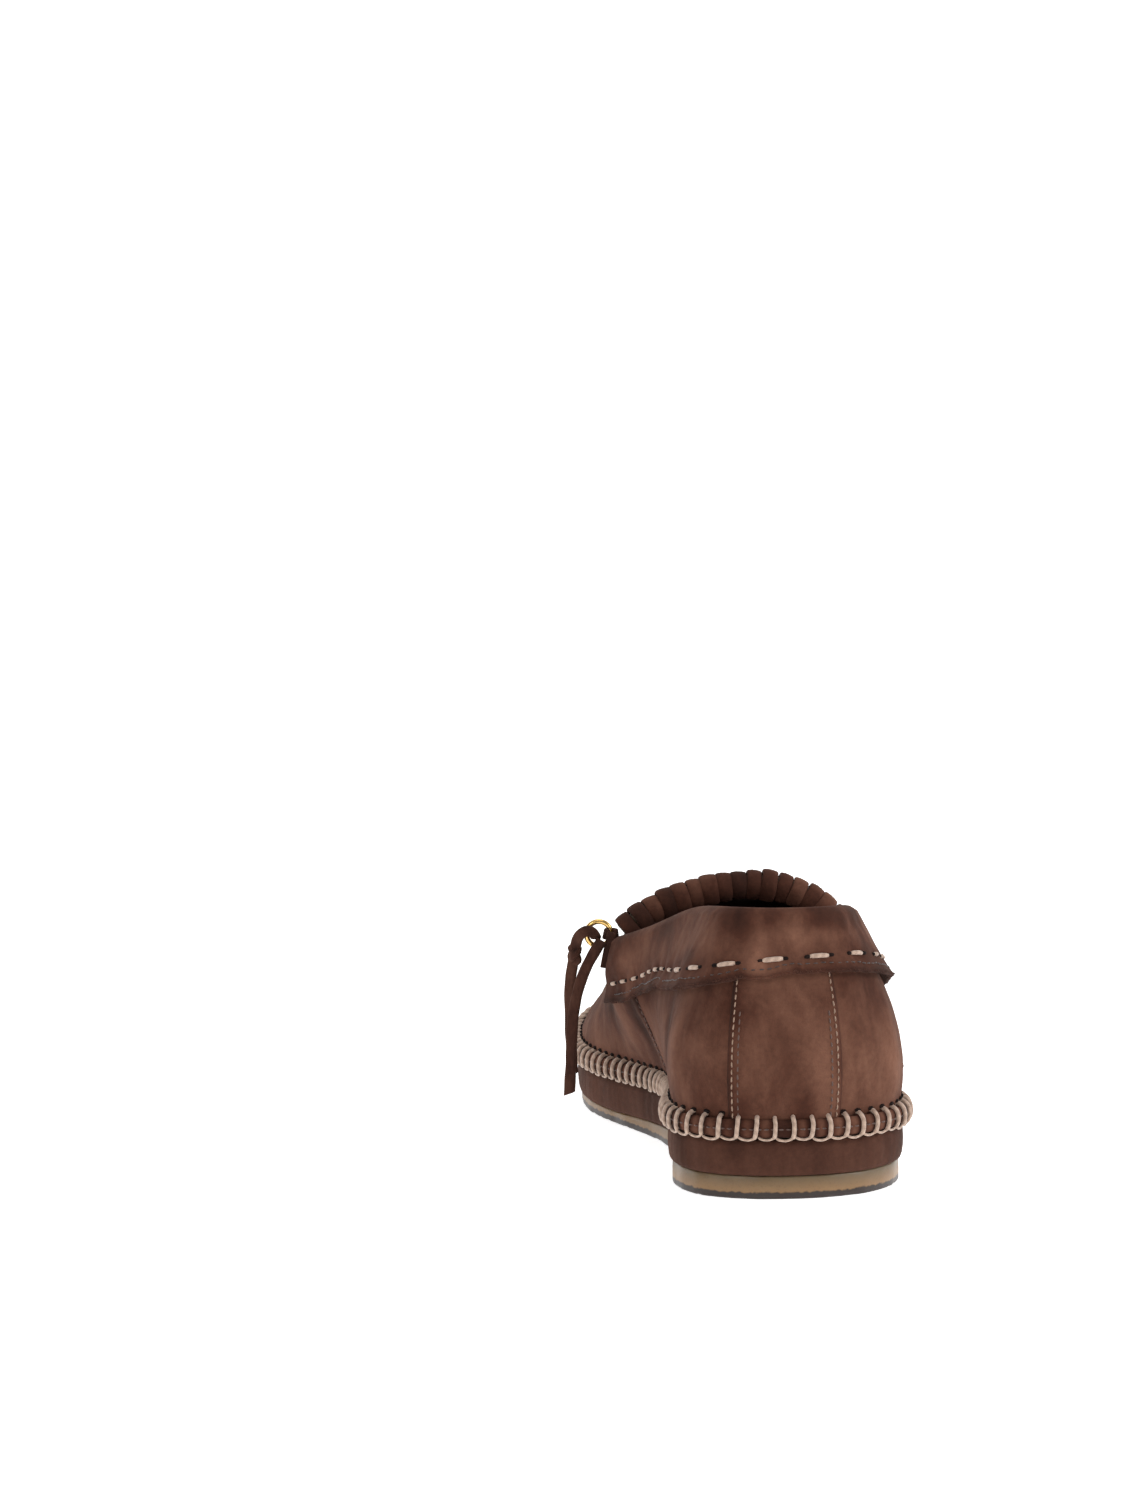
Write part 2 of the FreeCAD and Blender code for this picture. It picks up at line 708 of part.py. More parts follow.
def raw_edge_height(station):
    """Height of the collar's raw edge, which hangs lower along both sides of the heel."""
    step = min(max((station - 0.8) / 1.6, 0.0), 1.0)
    drop = LATERAL_DROP * step * step * (3 - 2 * step)
    drop += MEDIAL_DROP * math.exp(-((station + 2.1) / 1.45) ** 2)
    return upper_edge(station).z - SIZE["cuff_height"] + 3.0 - drop


FOLD_CENTRE = -1.2
FOLD_INNER = 1.5


FRONT_LEAN = 0.30


def front_lean(station, step):
    """How far, in stations, the collar's medial front end slants ahead as it goes down."""
    near = min(max((-3.6 - station) / 1.2, 0.0), 1.0)
    return FRONT_LEAN * near * near * (3 - 2 * near) * (1.0 - step) ** 1.5


def cuff_line(station, thickness):
    """One face of the turned collar: up the outside, over the fold, down inside."""
    low = share_at(station, raw_edge_height(station))
    reach = FOLD_INNER + thickness
    points = []
    for step in between(0, 1, 6):
        share = low + (CUFF_TOP - low) * step
        flare = STRIP_LIFT + STRIP_THICK + 0.5 - 1.0 * step
        point, normal, _ = wall_frame(station - front_lean(station, step), share)
        points.append(point + normal * (max(flare, FOLD_CENTRE + FOLD_INNER) + thickness))
    point, normal, upward = wall_frame(station, CUFF_TOP)
    centre = point + normal * FOLD_CENTRE
    for angle in (45, 90, 135):
        turn = math.radians(angle)
        points.append(centre + normal * (reach * math.cos(turn))
                      + upward * (reach * math.sin(turn)))
    for step in between(0, 1, 3):
        share = share_at(station, point.z - SIZE["cuff_tuck"] * step)
        inner, facing, _ = wall_frame(station, min(share, CUFF_TOP))
        points.append(inner + facing * (FOLD_CENTRE - reach))
    return points


def collar_cuff():
    """The turned collar as one folded sheet."""
    stations = between(CUFF_START, CUFF_END, 36)
    outer = [cuff_line(station, SIZE["leather_thick"]) for station in stations]
    inner = [cuff_line(station, 0.0) for station in stations]
    return folded_solid(outer, inner)


add_shape("collar_cuff", collar_cuff())

CUFF_FACE = STRIP_LIFT + STRIP_THICK + 0.2 + SIZE["leather_thick"]
RUN_ABOVE_EDGE = 6.0
RUN_STEP = 0.26


def cuff_stitch_point(station):
    """Line of the thick running stitch on the collar."""
    share = share_at(station, raw_edge_height(station) + RUN_ABOVE_EDGE)
    return layer_point(station - front_lean(station, RUN_STEP), share,
                       CUFF_FACE + SIZE["stitch_radius"] + 0.35)


RUN_PITCH = 15.5
RUN_LENGTH = 7.5


def running_stitches():
    """Separate long stitches round the collar."""
    stitches = []
    for station in even_stations(cuff_stitch_point, -4.68, 4.48, RUN_PITCH):
        middle = cuff_stitch_point(station)
        along = cuff_stitch_point(station + 0.02) - cuff_stitch_point(station - 0.02)
        along = along.normalize()
        start = middle - along * (RUN_LENGTH / 2)
        stitches.append(Part.makeCylinder(SIZE["stitch_radius"], RUN_LENGTH, start, along))
    return Part.makeCompound(stitches)


add_shape("collar_stitches", running_stitches())

# ---------------------------------------------------------------- apron

APRON_X = (-50.0, 50.0)
APRON_Y = (108.0, 252.0)
THROAT_Y = 124.5
SEAM_FIRST, SEAM_LAST = 5.35, 16.65


def apron_slab(high, low):
    """A thick curved slab that follows the crown, between two depths."""
    grids = []
    for depth in (high, low):
        grids.append([[Vector(x, y, crown_height(x, y) + depth)
                       for y in between(*APRON_Y, 15)] for x in between(*APRON_X, 17)])
    return sheet_solid(*grids)


def apron_plan(inset):
    """Upright prism of the apron's outline: the seam and the throat edge."""
    seam = []
    for station in between(SEAM_FIRST, SEAM_LAST, 30):
        point = upper_edge(station)
        ahead = upper_edge(station + 0.02) - upper_edge(station - 0.02)
        inward = Vector(-ahead.y, ahead.x, 0).normalize()
        point = point + inward * inset
        seam.append(Vector(point.x, point.y, 0))
    side = Part.BSplineCurve()
    side.interpolate(Points=seam)
    start, end = seam[-1], seam[0]
    middle = Vector(CROWN_X, THROAT_Y, 0)
    throat = Part.Arc(start, middle, end)
    face = Part.Face(Part.Wire([side.toShape(), throat.toShape()]))
    return face.extrude(UP * 120)


def apron_piece(high, low, inset):
    """A sheet of the apron, trimmed to the seam."""
    piece = apron_slab(high, low).common(apron_plan(inset))
    return piece.Solids[0]


add_shape("apron", apron_piece(0.4, 0.4 + LEATHER * 1.1, 0.5))
add_shape("apron_lining", apron_piece(-1.7, -2.6, 5.0))


SEAM_STITCH_RADIUS = 2.6
SEAM_STITCH_LIFT = 1.86


def apron_stitches():
    """Thick thread across the apron seam."""
    loops = []
    for station in even_stations(upper_edge, 5.3, 16.7, SIZE["whip_pitch"]):
        point = upper_edge(station)
        ahead = (upper_edge(station + 0.02) - upper_edge(station - 0.02)).normalize()
        across = ahead.cross(UP).normalize()
        top = across.cross(ahead).normalize()
        loops.append(sector_torus(point + top * SEAM_STITCH_LIFT, ahead, top,
                                  SEAM_STITCH_RADIUS, SIZE["stitch_radius"] * 0.8, 60))
    return Part.makeCompound(loops)


add_shape("apron_thread", apron_stitches())

# ---------------------------------------------------------------- throat roll

def roll_frame(place):
    """A point of the roll's centre line and the direction along it."""
    step = 0.02
    ahead = curve_at(ROLL, place + step, False) - curve_at(ROLL, place - step, False)
    return curve_at(ROLL, place, False), ahead.normalize()


ROLL_INSET = 0.12


def roll_core():
    """Padding inside the throat roll."""
    sections = []
    for place in between(ROLL_INSET, len(ROLL_PATH) - 1 - ROLL_INSET, 15):
        centre, ahead = roll_frame(place)
        circle = Part.Circle(centre, ahead, SIZE["roll_core_radius"])
        sections.append(Part.Wire(circle.toShape()))
    return Part.makeLoft(sections, True, False)


def wrap_strips():
    """The flat strip wound round the padding, one short sleeve for each turn."""
    line = lambda place: curve_at(ROLL, place, False)
    sleeves = []
    turns = even_stations(line, 0.12, len(ROLL_PATH) - 1.12, SIZE["wrap_width"] + 0.35)
    for count, place in enumerate(turns):
        centre, ahead = roll_frame(place)
        lean = Rotation(Vector(0, 1, 0), 4.0 if count % 2 else -3.0)
        ahead = lean.multVec(ahead)
        start = centre - ahead * (SIZE["wrap_width"] / 2 - 0.25)
        length = SIZE["wrap_width"] - 0.5
        outer = SIZE["roll_radius"] - 0.12 * (count % 3)
        sleeve = Part.makeCylinder(outer, length, start, ahead)
        bore = Part.makeCylinder(SIZE["roll_core_radius"] + 0.3, length, start, ahead)
        sleeves.append(sleeve.cut(bore).Solids[0])
    return Part.makeCompound(sleeves)


add_shape("throat_roll_core", roll_core())
add_shape("throat_wrap", wrap_strips())

# ---------------------------------------------------------------- rings and ties

def add_ring(side_name):
    """The metal ring: across the shoe on the medial side, flat along the lateral side."""
    ring = doc.addObject("Part::Torus", side_name + "_ring")
    ring.setExpression("Radius1", "Size.ring_radius")
    ring.setExpression("Radius2", "Size.ring_wire")
    place_part(ring, side_name + "_ring")
    place = {
        "medial": ("-Size.hinge_x - Size.ring_radius - Size.centre_x",
                   "Size.hinge_y - Size.centre_y", "Size.hinge_z"),
        "lateral": ("Size.outer_hinge_x - Size.centre_x",
                    "Size.outer_hinge_y + Size.ring_radius - Size.centre_y",
                    "Size.outer_hinge_z"),
    }[side_name]
    for axis, expression in zip("xyz", place):
        ring.setExpression(f"Placement.Base.{axis}", expression)
    across = Vector(1, 0, 0) if side_name == "medial" else Vector(0, 1, 0)
    ring.Placement.Rotation = Rotation(across, 90)


TAB_HEIGHT = 3.6
TAB_DROP = 11.5


def add_tab(side_name, hinge, foot_x, foot_y):
    """Leather folded round the ring's wire, its tail running down by the collar's end."""
    x, y = hinge.x, hinge.y
    start = hinge - UP * (TAB_HEIGHT / 2)
    sleeve = Part.makeCylinder(SIZE["tab_radius"], TAB_HEIGHT, start)
    bore = Part.makeCylinder(SIZE["tab_bore"], TAB_HEIGHT, start)
    lug = Part.makeBox(1.5, 3.0, TAB_HEIGHT,
                       Vector(x - 0.75, y - SIZE["tab_radius"] - 1.9, start.z))
    tail_top = Vector(x, y - SIZE["tab_radius"] - 0.6, start.z + TAB_HEIGHT)
    tail_foot = Vector(foot_x, foot_y, hinge.z - TAB_DROP)
    run = tail_top - tail_foot
    tail = Part.makeBox(1.5, 2.4, run.Length, Vector(-0.75, -1.2, 0))
    tail.Placement = Placement(tail_foot, Rotation(UP, run))
    solid = sleeve.fuse(lug).fuse(tail).cut(bore).removeSplitter()
    add_shape(side_name + "_ring_tab", solid.Solids[0])


def add_tie(side_name):
    """Two hanging thongs and the knot on one ring."""
    radius = SIZE["thong_radius"]
    tail, loop, end = ([Vector(*point) for point in route] for route in TIES[side_name][:3])
    print(side_name)
    add_shape(side_name + "_thong_tail", tube(tail, radius))
    add_shape(side_name + "_thong_loop", tube(loop, radius))
    add_shape(side_name + "_thong_end", tube(end, radius))
    knot = Part.makeSphere(SIZE["knot_radius"], Vector(*TIES[side_name][3]))
    for route in (loop, end):
        knot = knot.cut(tube(route, radius + 0.05))
    add_shape(side_name + "_tie_knot", knot.Solids[0])


add_tab("medial", Vector(-SIZE["hinge_x"], SIZE["hinge_y"], SIZE["hinge_z"]), -47.4, 112.0)
add_tab("lateral", Vector(SIZE["outer_hinge_x"], SIZE["outer_hinge_y"],
                          SIZE["outer_hinge_z"]), 41.3, 109.9)
for name in ("medial", "lateral"):
    add_ring(name)
    add_tie(name)


# ---------------------------------------------------------------- write

def check_and_write():
    """Stop on a failed object or shape, then write one STEP file for each sub-part."""
    doc.recompute()
    for item in doc.Objects:
        if "Invalid" in item.State or "Error" in item.State:
            raise RuntimeError(f"{item.Label}: {item.State}")
    os.makedirs("parts", exist_ok=True)
    box = FreeCAD.BoundBox()
    for part in PARTS:
        shape = part.Shape
        if shape.isNull() or not shape.isValid():
            raise RuntimeError(f"{part.Label}: shape is null or not valid")
        if not any(word in part.Label for word in ("thong", "knot")):
            box.add(shape.optimalBoundingBox(True, False))
        print(f"{part.Label}: {len(shape.Solids)} solids, {shape.Volume:.0f} mm3")
        shape.exportStep(f"parts/{part.Label}.step")
    print(f"box without ties: x {box.XMin:.2f} {box.XMax:.2f}  "
          f"y {box.YMin:.2f} {box.YMax:.2f}  z {box.ZMin:.2f} {box.ZMax:.2f}")


check_and_write()
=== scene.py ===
"""Looks of a right-foot moccasin in brown suede with a raised nap: gum sole, whipstitched
seam, turned collar, wrapped throat roll, and a gold ring with a thong tie on
each side.  Shapes are worked out in millimetres with the back of the outsole at
y = 0, and turned into the frame's metres when a mesh is made.
"""

import math

import bpy
import numpy as np
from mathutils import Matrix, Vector, noise


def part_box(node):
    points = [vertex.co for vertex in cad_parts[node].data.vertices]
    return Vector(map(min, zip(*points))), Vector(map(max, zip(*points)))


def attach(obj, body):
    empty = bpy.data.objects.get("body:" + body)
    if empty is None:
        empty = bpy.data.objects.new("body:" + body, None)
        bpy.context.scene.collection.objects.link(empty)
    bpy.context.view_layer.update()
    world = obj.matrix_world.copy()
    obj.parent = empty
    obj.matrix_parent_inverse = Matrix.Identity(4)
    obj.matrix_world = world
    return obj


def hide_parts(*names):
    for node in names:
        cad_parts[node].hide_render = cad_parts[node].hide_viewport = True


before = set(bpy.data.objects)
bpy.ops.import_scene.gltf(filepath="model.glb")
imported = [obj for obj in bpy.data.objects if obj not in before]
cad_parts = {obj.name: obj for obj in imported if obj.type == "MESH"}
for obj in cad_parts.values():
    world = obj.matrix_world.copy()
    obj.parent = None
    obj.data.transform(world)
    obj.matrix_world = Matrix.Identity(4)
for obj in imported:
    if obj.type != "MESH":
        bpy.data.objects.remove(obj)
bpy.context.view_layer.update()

MM = 0.001
SOLE_LOW, SOLE_HIGH = (np.array(corner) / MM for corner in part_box("outsole"))
HEEL_Y = SOLE_LOW[1]
SOLE_LENGTH = SOLE_HIGH[1] - SOLE_LOW[1]
UP = np.array((0.0, 0.0, 1.0))
SHOE = "shoe"


def to_frame(points):
    """Drawing millimetres to the frame's metres."""
    return (np.asarray(points, float) + (0.0, HEEL_Y, 0.0)) * MM


# ---------------------------------------------------------------- sizes, mm

# STATION_RUN is about how far one station runs along the outline.
HALF_WIDTH = 47.5
OUTSOLE_HEEL, OUTSOLE_FRONT = 7.6, 4.2
RAND_HEIGHT = 11.8
RAMP_START, RAMP_END = 60.0, 150.0
SPRING_START, SPRING_RADIUS = 185.0, 390.0
LEATHER = 1.6
CUFF_HEIGHT = 22.5
STATIONS = 22
STATION_RUN = 24.0

# Sole outline (shares of the half width and of the length), edge of the upper,
# and push of the wall outwards low, middle and high, from the heel round by the
# lateral side.
SHELL = (
    ((0.000, 0.000), (0.0, 8.0, 91.0), (5.0, 9.0, 2.0)),
    ((0.562, 0.030), (16.8, 12.0, 91.0), (5.0, 11.5, 2.0)),
    ((0.880, 0.118), (25.3, 33.0, 88.8), (5.0, 13.0, 2.5)),
    ((0.872, 0.220), (29.0, 58.0, 84.0), (4.5, 12.0, 3.0)),
    ((0.800, 0.334), (33.8, 87.0, 75.4), (3.5, 7.0, 2.5)),
    ((0.768, 0.455), (38.0, 113.0, 67.5), (3.0, 4.5, 3.0)),
    ((0.874, 0.569), (36.5, 146.0, 61.6), (3.5, 6.0, 4.0)),
    ((1.000, 0.676), (33.0, 176.0, 54.4), (4.0, 8.0, 5.0)),
    ((1.000, 0.786), (27.0, 205.0, 48.8), (4.0, 8.0, 5.0)),
    ((0.842, 0.888), (17.0, 227.0, 45.4), (4.0, 8.0, 5.5)),
    ((0.463, 0.972), (7.0, 239.5, 44.4), (4.0, 8.0, 6.0)),
    ((-0.084, 1.000), (-4.0, 243.5, 43.9), (4.0, 8.0, 6.0)),
    ((-0.610, 0.964), (-15.0, 238.5, 44.4), (4.0, 8.0, 6.0)),
    ((-0.895, 0.877), (-23.5, 224.0, 45.4), (4.0, 8.0, 5.5)),
    ((-0.995, 0.770), (-29.5, 203.0, 48.8), (4.0, 8.0, 5.0)),
    ((-0.985, 0.664), (-34.0, 175.0, 54.4), (4.0, 7.5, 5.0)),
    ((-0.832, 0.558), (-38.5, 146.0, 62.0), (3.3, 6.5, 6.4)),
    ((-0.632, 0.448), (-43.4, 113.0, 68.5), (2.4, 5.8, 8.4)),
    ((-0.550, 0.334), (-35.4, 87.0, 74.9), (3.5, 8.0, 2.5)),
    ((-0.602, 0.220), (-26.4, 58.0, 84.0), (4.5, 11.0, 1.5)),
    ((-0.672, 0.118), (-21.3, 33.0, 88.8), (5.0, 12.0, 1.0)),
    ((-0.500, 0.030), (-15.6, 12.0, 91.0), (5.0, 11.0, 1.5)),
)

# Crown of the apron along the shoe: y, height, arch across.
CROWN = ((100, 91.8, 1.55), (118, 86.7, 1.55), (150, 76.6, 1.60),
         (180, 65.2, 1.55), (210, 54.8, 1.70), (243, 44.4, 2.60), (262, 37.9, 3.20))
CROWN_X = 1.0
CROWN_POWER = 2.5

# Centre line of the throat roll, medial end to lateral end.
ROLL_PATH = ((-41.0, 115.5, 71.0), (-35.2, 116.0, 76.2), (-28.6, 117.0, 80.0),
             (-15.5, 118.0, 84.6), (1.5, 118.5, 87.3), (15.0, 118.0, 86.0),
             (25.0, 117.0, 81.6), (32.0, 116.2, 75.6), (36.4, 115.8, 68.6))

# Laces of the medial tie: the long tail, the loop over the ring to the knot,
# and the short end below the knot.
TAIL_ROUTE = ((-48.4, 111.0, 69.6), (-51.4, 110.2, 65.1), (-54.6, 110.6, 58.8),
              (-57.0, 111.6, 50.8), (-58.4, 112.6, 41.3), (-58.6, 113.4, 29.8),
              (-59.2, 114.0, 16.5))
LOOP_ROUTE = ((-50.2, 113.6, 70.4), (-51.2, 111.2, 72.2), (-53.6, 110.8, 73.2),
              (-56.2, 112.2, 71.2), (-57.0, 114.6, 68.1))
END_ROUTE = ((-57.6, 117.2, 61.8), (-58.8, 119.4, 53.6), (-58.4, 121.4, 43.8),
             (-58.0, 122.6, 33.0), (-57.2, 123.4, 21.4))
KNOT_CENTRE = (-57.2, 116.2, 64.6)

# The lateral ring lies flat along the side, and its tie hangs ahead of it.
LATERAL_TAIL = ((45.3, 117.7, 56.4), (46.4, 119.6, 52.3), (47.2, 120.8, 46.0),
                (48.6, 121.4, 38.0), (50.4, 121.8, 29.5), (51.6, 122.0, 20.0),
                (52.0, 122.2, 11.0))
LATERAL_LOOP = ((42.7, 119.2, 57.4), (45.1, 120.6, 59.5), (46.8, 123.6, 60.7),
                (47.6, 126.2, 58.9), (47.6, 127.4, 55.2))
LATERAL_END = ((47.9, 128.0, 49.0), (49.6, 128.6, 42.4), (52.4, 128.0, 34.4),
               (55.4, 127.4, 27.4), (57.0, 127.0, 21.4))
LATERAL_KNOT = (47.6, 127.8, 51.9)
TIES = {"medial": (TAIL_ROUTE, LOOP_ROUTE, END_ROUTE, KNOT_CENTRE),
        "lateral": (LATERAL_TAIL, LATERAL_LOOP, LATERAL_END, LATERAL_KNOT)}


# ---------------------------------------------------------------- smooth lines

def fit_controls(points, closed):
    """Control points of the uniform cubic that passes through the given points."""
    points = np.array(points, float)
    controls = points.copy()
    for _ in range(40):
        near = np.roll(controls, 1, 0) + np.roll(controls, -1, 0)
        change = points - (near + controls * 4) / 6
        if not closed:
            change[[0, -1]] = 0
        controls = controls + change
    return controls


def curve_at(controls, place, closed):
    """Points of the uniform cubic at places counted in stations."""
    count = len(controls)
    place = np.asarray(place, float)
    if not closed:
        place = np.clip(place, 0, count - 1.000001)
        controls = np.vstack([controls[0] * 2 - controls[1], controls,
                              controls[-1] * 2 - controls[-2]])
    start = np.floor(place).astype(int)
    share = (place - start)[..., None]
    rest = 1 - share

    def control(step):
        if closed:
            return controls[(start + step) % count]
        return controls[start + step + 1]

    return (control(-1) * rest ** 3
            + control(0) * (3 * share ** 3 - 6 * share ** 2 + 4)
            + control(1) * (3 * rest ** 3 - 6 * rest ** 2 + 4)
            + control(2) * share ** 3) / 6


OUTLINE = fit_controls([(x * HALF_WIDTH, y * SOLE_LENGTH, 0) for (x, y), _, _ in SHELL], True)
EDGE = fit_controls([edge for _, edge, _ in SHELL], True)
PUSH = fit_controls([push for _, _, push in SHELL], True)
ROLL = fit_controls(ROLL_PATH, False)
CROWN_TABLE = curve_at(fit_controls(CROWN, False), np.linspace(0, len(CROWN) - 1, 300), False)


def unit(vectors):
    """Vectors scaled to length one."""
    return vectors / np.maximum(np.linalg.norm(vectors, axis=-1, keepdims=True), 1e-9)


def smooth_step(value):
    """0 below 0, 1 above 1, smooth between."""
    value = np.clip(value, 0, 1)
    return value * value * (3 - 2 * value)


def bell(distance):
    """A soft bump of height 1 and half width about 1."""
    return np.exp(-np.asarray(distance) ** 2)


def wave_noise(x, y, seed):
    """Smooth, repeatable unevenness between about -1 and 1."""
    x, y = np.broadcast_arrays(np.asarray(x, float), np.asarray(y, float))
    flat = [noise.noise(Vector((a, b, seed))) for a, b in zip(x.ravel(), y.ravel())]
    return np.array(flat).reshape(x.shape) * 2


# ---------------------------------------------------------------- heights

def toe_lift(y):
    """Height of the sole's underside above the floor."""
    reach = np.maximum(np.asarray(y) - SPRING_START, 0)
    return SPRING_RADIUS - np.sqrt(SPRING_RADIUS ** 2 - reach ** 2)


def sole_height(y, heel, front):
    """Height of a sole layer from its heel height and its front height."""
    share = np.clip((y - RAMP_START) / (RAMP_END - RAMP_START), 0, 1)
    return toe_lift(y) + heel + (front - heel) * share


def outsole_top(y):
    """Height of the seam between the rubber and the wrapped midsole."""
    return sole_height(y, OUTSOLE_HEEL, OUTSOLE_FRONT)


def rand_top(y):
    """Height of the seam between the wrapped midsole and the upper."""
    return outsole_top(y) + RAND_HEIGHT


def crown_height(x, y):
    """Height of the apron over a point in plan."""
    height = np.interp(y, CROWN_TABLE[:, 0], CROWN_TABLE[:, 1])
    arch = np.interp(y, CROWN_TABLE[:, 0], CROWN_TABLE[:, 2])
    return height - arch * np.abs(x - CROWN_X) ** CROWN_POWER / 1000


def outward(station):
    """Unit vectors in plan that point away from the foot."""
    step = 0.02
    along = curve_at(OUTLINE, station + step, True) - curve_at(OUTLINE, station - step, True)
    return unit(np.stack([along[..., 1], -along[..., 0], along[..., 2] * 0], -1))


def outline(station, offset):
    """Points of the sole outline, moved outwards."""
    offset = np.asarray(offset, float)
    return curve_at(OUTLINE, station, True) + outward(station) * offset[..., None]


# ---------------------------------------------------------------- upper wall

FEATHER_OFFSET = -1.1
FEATHER_LIFT = 0.3
APRON_START = 113.0
BEZIER = (1, 4, 6, 4, 1)
SEAM_TOP, SEAM_FOOT = 4.72, 3.95

# Soft folds pressed into the upper: station, share, half widths, height in mm, lean.
FOLDS = (
    (1.55, 0.42, 0.20, 0.34, 1.1, 0.2), (2.45, 0.50, 0.30, 0.30, -1.0, 0.3),
    (-1.60, 0.40, 0.22, 0.30, 0.9, -0.2), (-2.35, 0.46, 0.26, 0.28, -1.1, -0.3),
    (-3.25, 0.52, 0.30, 0.30, 0.9, -0.4), (3.35, 0.50, 0.30, 0.30, 0.8, 0.4),
    (0.05, 0.36, 0.45, 0.22, -0.7, 0.0),
    (4.55, 0.42, 0.16, 0.34, -0.9, 0.5), (5.20, 0.50, 0.18, 0.36, 0.8, 0.4),
    (-4.55, 0.42, 0.16, 0.34, -1.0, -0.5), (-5.15, 0.50, 0.18, 0.36, 0.9, -0.4),
    (-5.75, 0.55, 0.16, 0.30, -0.8, -0.3), (5.80, 0.55, 0.16, 0.30, -0.7, 0.3),
    (7.60, 0.62, 0.30, 0.22, -0.6, 0.3), (-7.55, 0.62, 0.30, 0.22, -0.7, -0.3),
)


def upper_edge(station):
    """Top edge of the upper: the topline behind, the apron seam in front."""
    point = curve_at(EDGE, station, True)
    blend = np.clip((point[..., 1] - APRON_START) / 12, 0, 1)
    crown = crown_height(point[..., 0], point[..., 1])
    point[..., 2] += (crown - point[..., 2]) * blend
    return point


def fold_height(station, share):
    """How far the folds stand out, in mm."""
    total = 0
    for at, rise, width, tall, height, lean in FOLDS:
        away = (station - at - lean * (share - rise) + STATIONS / 2) % STATIONS - STATIONS / 2
        total = total + height * bell(away / width) * bell((share - rise) / tall)
    return total


def wall(station, share):
    """The outer face of the upper: share 0 at the feather line, 1 at the top edge."""
    station, share = np.broadcast_arrays(np.asarray(station, float), np.asarray(share, float))
    foot = outline(station, FEATHER_OFFSET)
    foot[..., 2] = rand_top(foot[..., 1]) + FEATHER_LIFT
    top = upper_edge(station)
    out = outward(station)
    low, middle, high = np.moveaxis(curve_at(PUSH, station, True), -1, 0)[..., None]
    span = top - foot
    points = (foot,
              foot + out * low + UP * (span[..., 2:] * 0.25),
              foot + span * 0.48 + out * middle,
              foot + span * 0.80 + out * high,
              top)
    along = share[..., None]
    shape = sum(weight * along ** k * (1 - along) ** (4 - k) * point
                for k, (weight, point) in enumerate(zip(BEZIER, points)))
    return shape + out * fold_height(station, share)[..., None]


def wall_frame(station, share):
    """Wall points, their outward normals and their upward tangents."""
    step = 0.012
    low = np.clip(share - step, 0, 1)
    high = np.clip(share + step, 0, 1)
    upward = unit(wall(station, high) - wall(station, low))
    along = wall(station + step, share) - wall(station - step, share)
    return wall(station, share), unit(np.cross(along, upward)), upward


SHARES = np.linspace(0, 1, 201)


def share_at(station, height):
    """The share of the wall at which it reaches a height."""
    station = np.asarray(station, float)
    height = np.broadcast_to(np.asarray(height, float), station.shape)
    found = []
    for at, level in zip(station.ravel(), height.ravel()):
        found.append(np.interp(level, wall(at, SHARES)[:, 2], SHARES))
    return np.array(found).reshape(station.shape)


# ---------------------------------------------------------------- meshes

def add_object(name, mesh):
    """A new object at the origin."""
    piece = bpy.data.objects.new(name, mesh)
    bpy.context.scene.collection.objects.link(piece)
    return piece


def grid_faces(rows, columns, closed_rows, closed_columns):
    """Quads of a grid of points; rows run along, columns run up."""
    i = np.arange(rows if closed_rows else rows - 1)[:, None]
    j = np.arange(columns if closed_columns else columns - 1)[None, :]
    here = i * columns + j
    ahead = ((i + 1) % rows) * columns + j
    up = (j + 1) % columns
    quads = np.stack([here, ahead, ((i + 1) % rows) * columns + up, i * columns + up], -1)
    return quads.reshape(-1, 4)


def grid_piece(name, grid, closed_rows=False, closed_columns=False, caps=False, tone_and_painted_light=None):
    """A smooth piece made from a grid of points in drawing millimetres."""
    rows, columns = grid.shape[:2]
    faces = grid_faces(rows, columns, closed_rows, closed_columns).tolist()
    if caps:
        faces.append(list(range(columns)))
        faces.append([(rows - 1) * columns + k for k in reversed(range(columns))])
    mesh = bpy.data.meshes.new(name)
    mesh.from_pydata(to_frame(grid.reshape(-1, 3)).tolist(), [], faces)
    mesh.polygons.foreach_set("use_smooth", [True] * len(mesh.polygons))
    # This point attribute holds random tone plus painted highlight on raised folds and painted
    # shade at seams and stitch pinches; the suede material reads it.
    if tone_and_painted_light is not None:
        brushed = mesh.attributes.new("brushed", "FLOAT", "POINT")
        brushed.data.foreach_set("value", np.ravel(tone_and_painted_light).astype(np.float32))
    mesh.update()
    return add_object(name, mesh)


def apply_modifiers(piece):
    """Turns a piece with live modifiers into a plain mesh."""
    graph = bpy.context.evaluated_depsgraph_get()
    mesh = bpy.data.meshes.new_from_object(piece.evaluated_get(graph))
    piece.modifiers.clear()
    old = piece.data
    piece.data = mesh
    bpy.data.meshes.remove(old)
    mesh.name = piece.name


def thicken(piece, thickness, rounding=0.45):
    """Gives a leather sheet its thickness inwards and soft cut edges."""
    solid = piece.modifiers.new("thickness", "SOLIDIFY")
    solid.thickness = thickness * MM
    solid.offset = -1
    solid.use_even_offset = True
    solid.use_rim = True
    bevel = piece.modifiers.new("edge", "BEVEL")
    bevel.width = rounding * MM
    bevel.segments = 2
    bevel.limit_method = "ANGLE"
    bevel.angle_limit = math.radians(50)
    apply_modifiers(piece)
    piece.data.polygons.foreach_set("use_smooth", [True] * len(piece.data.polygons))


def finish_piece(piece, material, body=SHOE, nodes=()):
    """Material, body and the CAD nodes that a piece stands for."""
    piece.data.materials.clear()
    piece.data.materials.append(material)
    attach(piece, body)
    if nodes:
        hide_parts(*nodes)
    return piece


# ---------------------------------------------------------------- node helpers

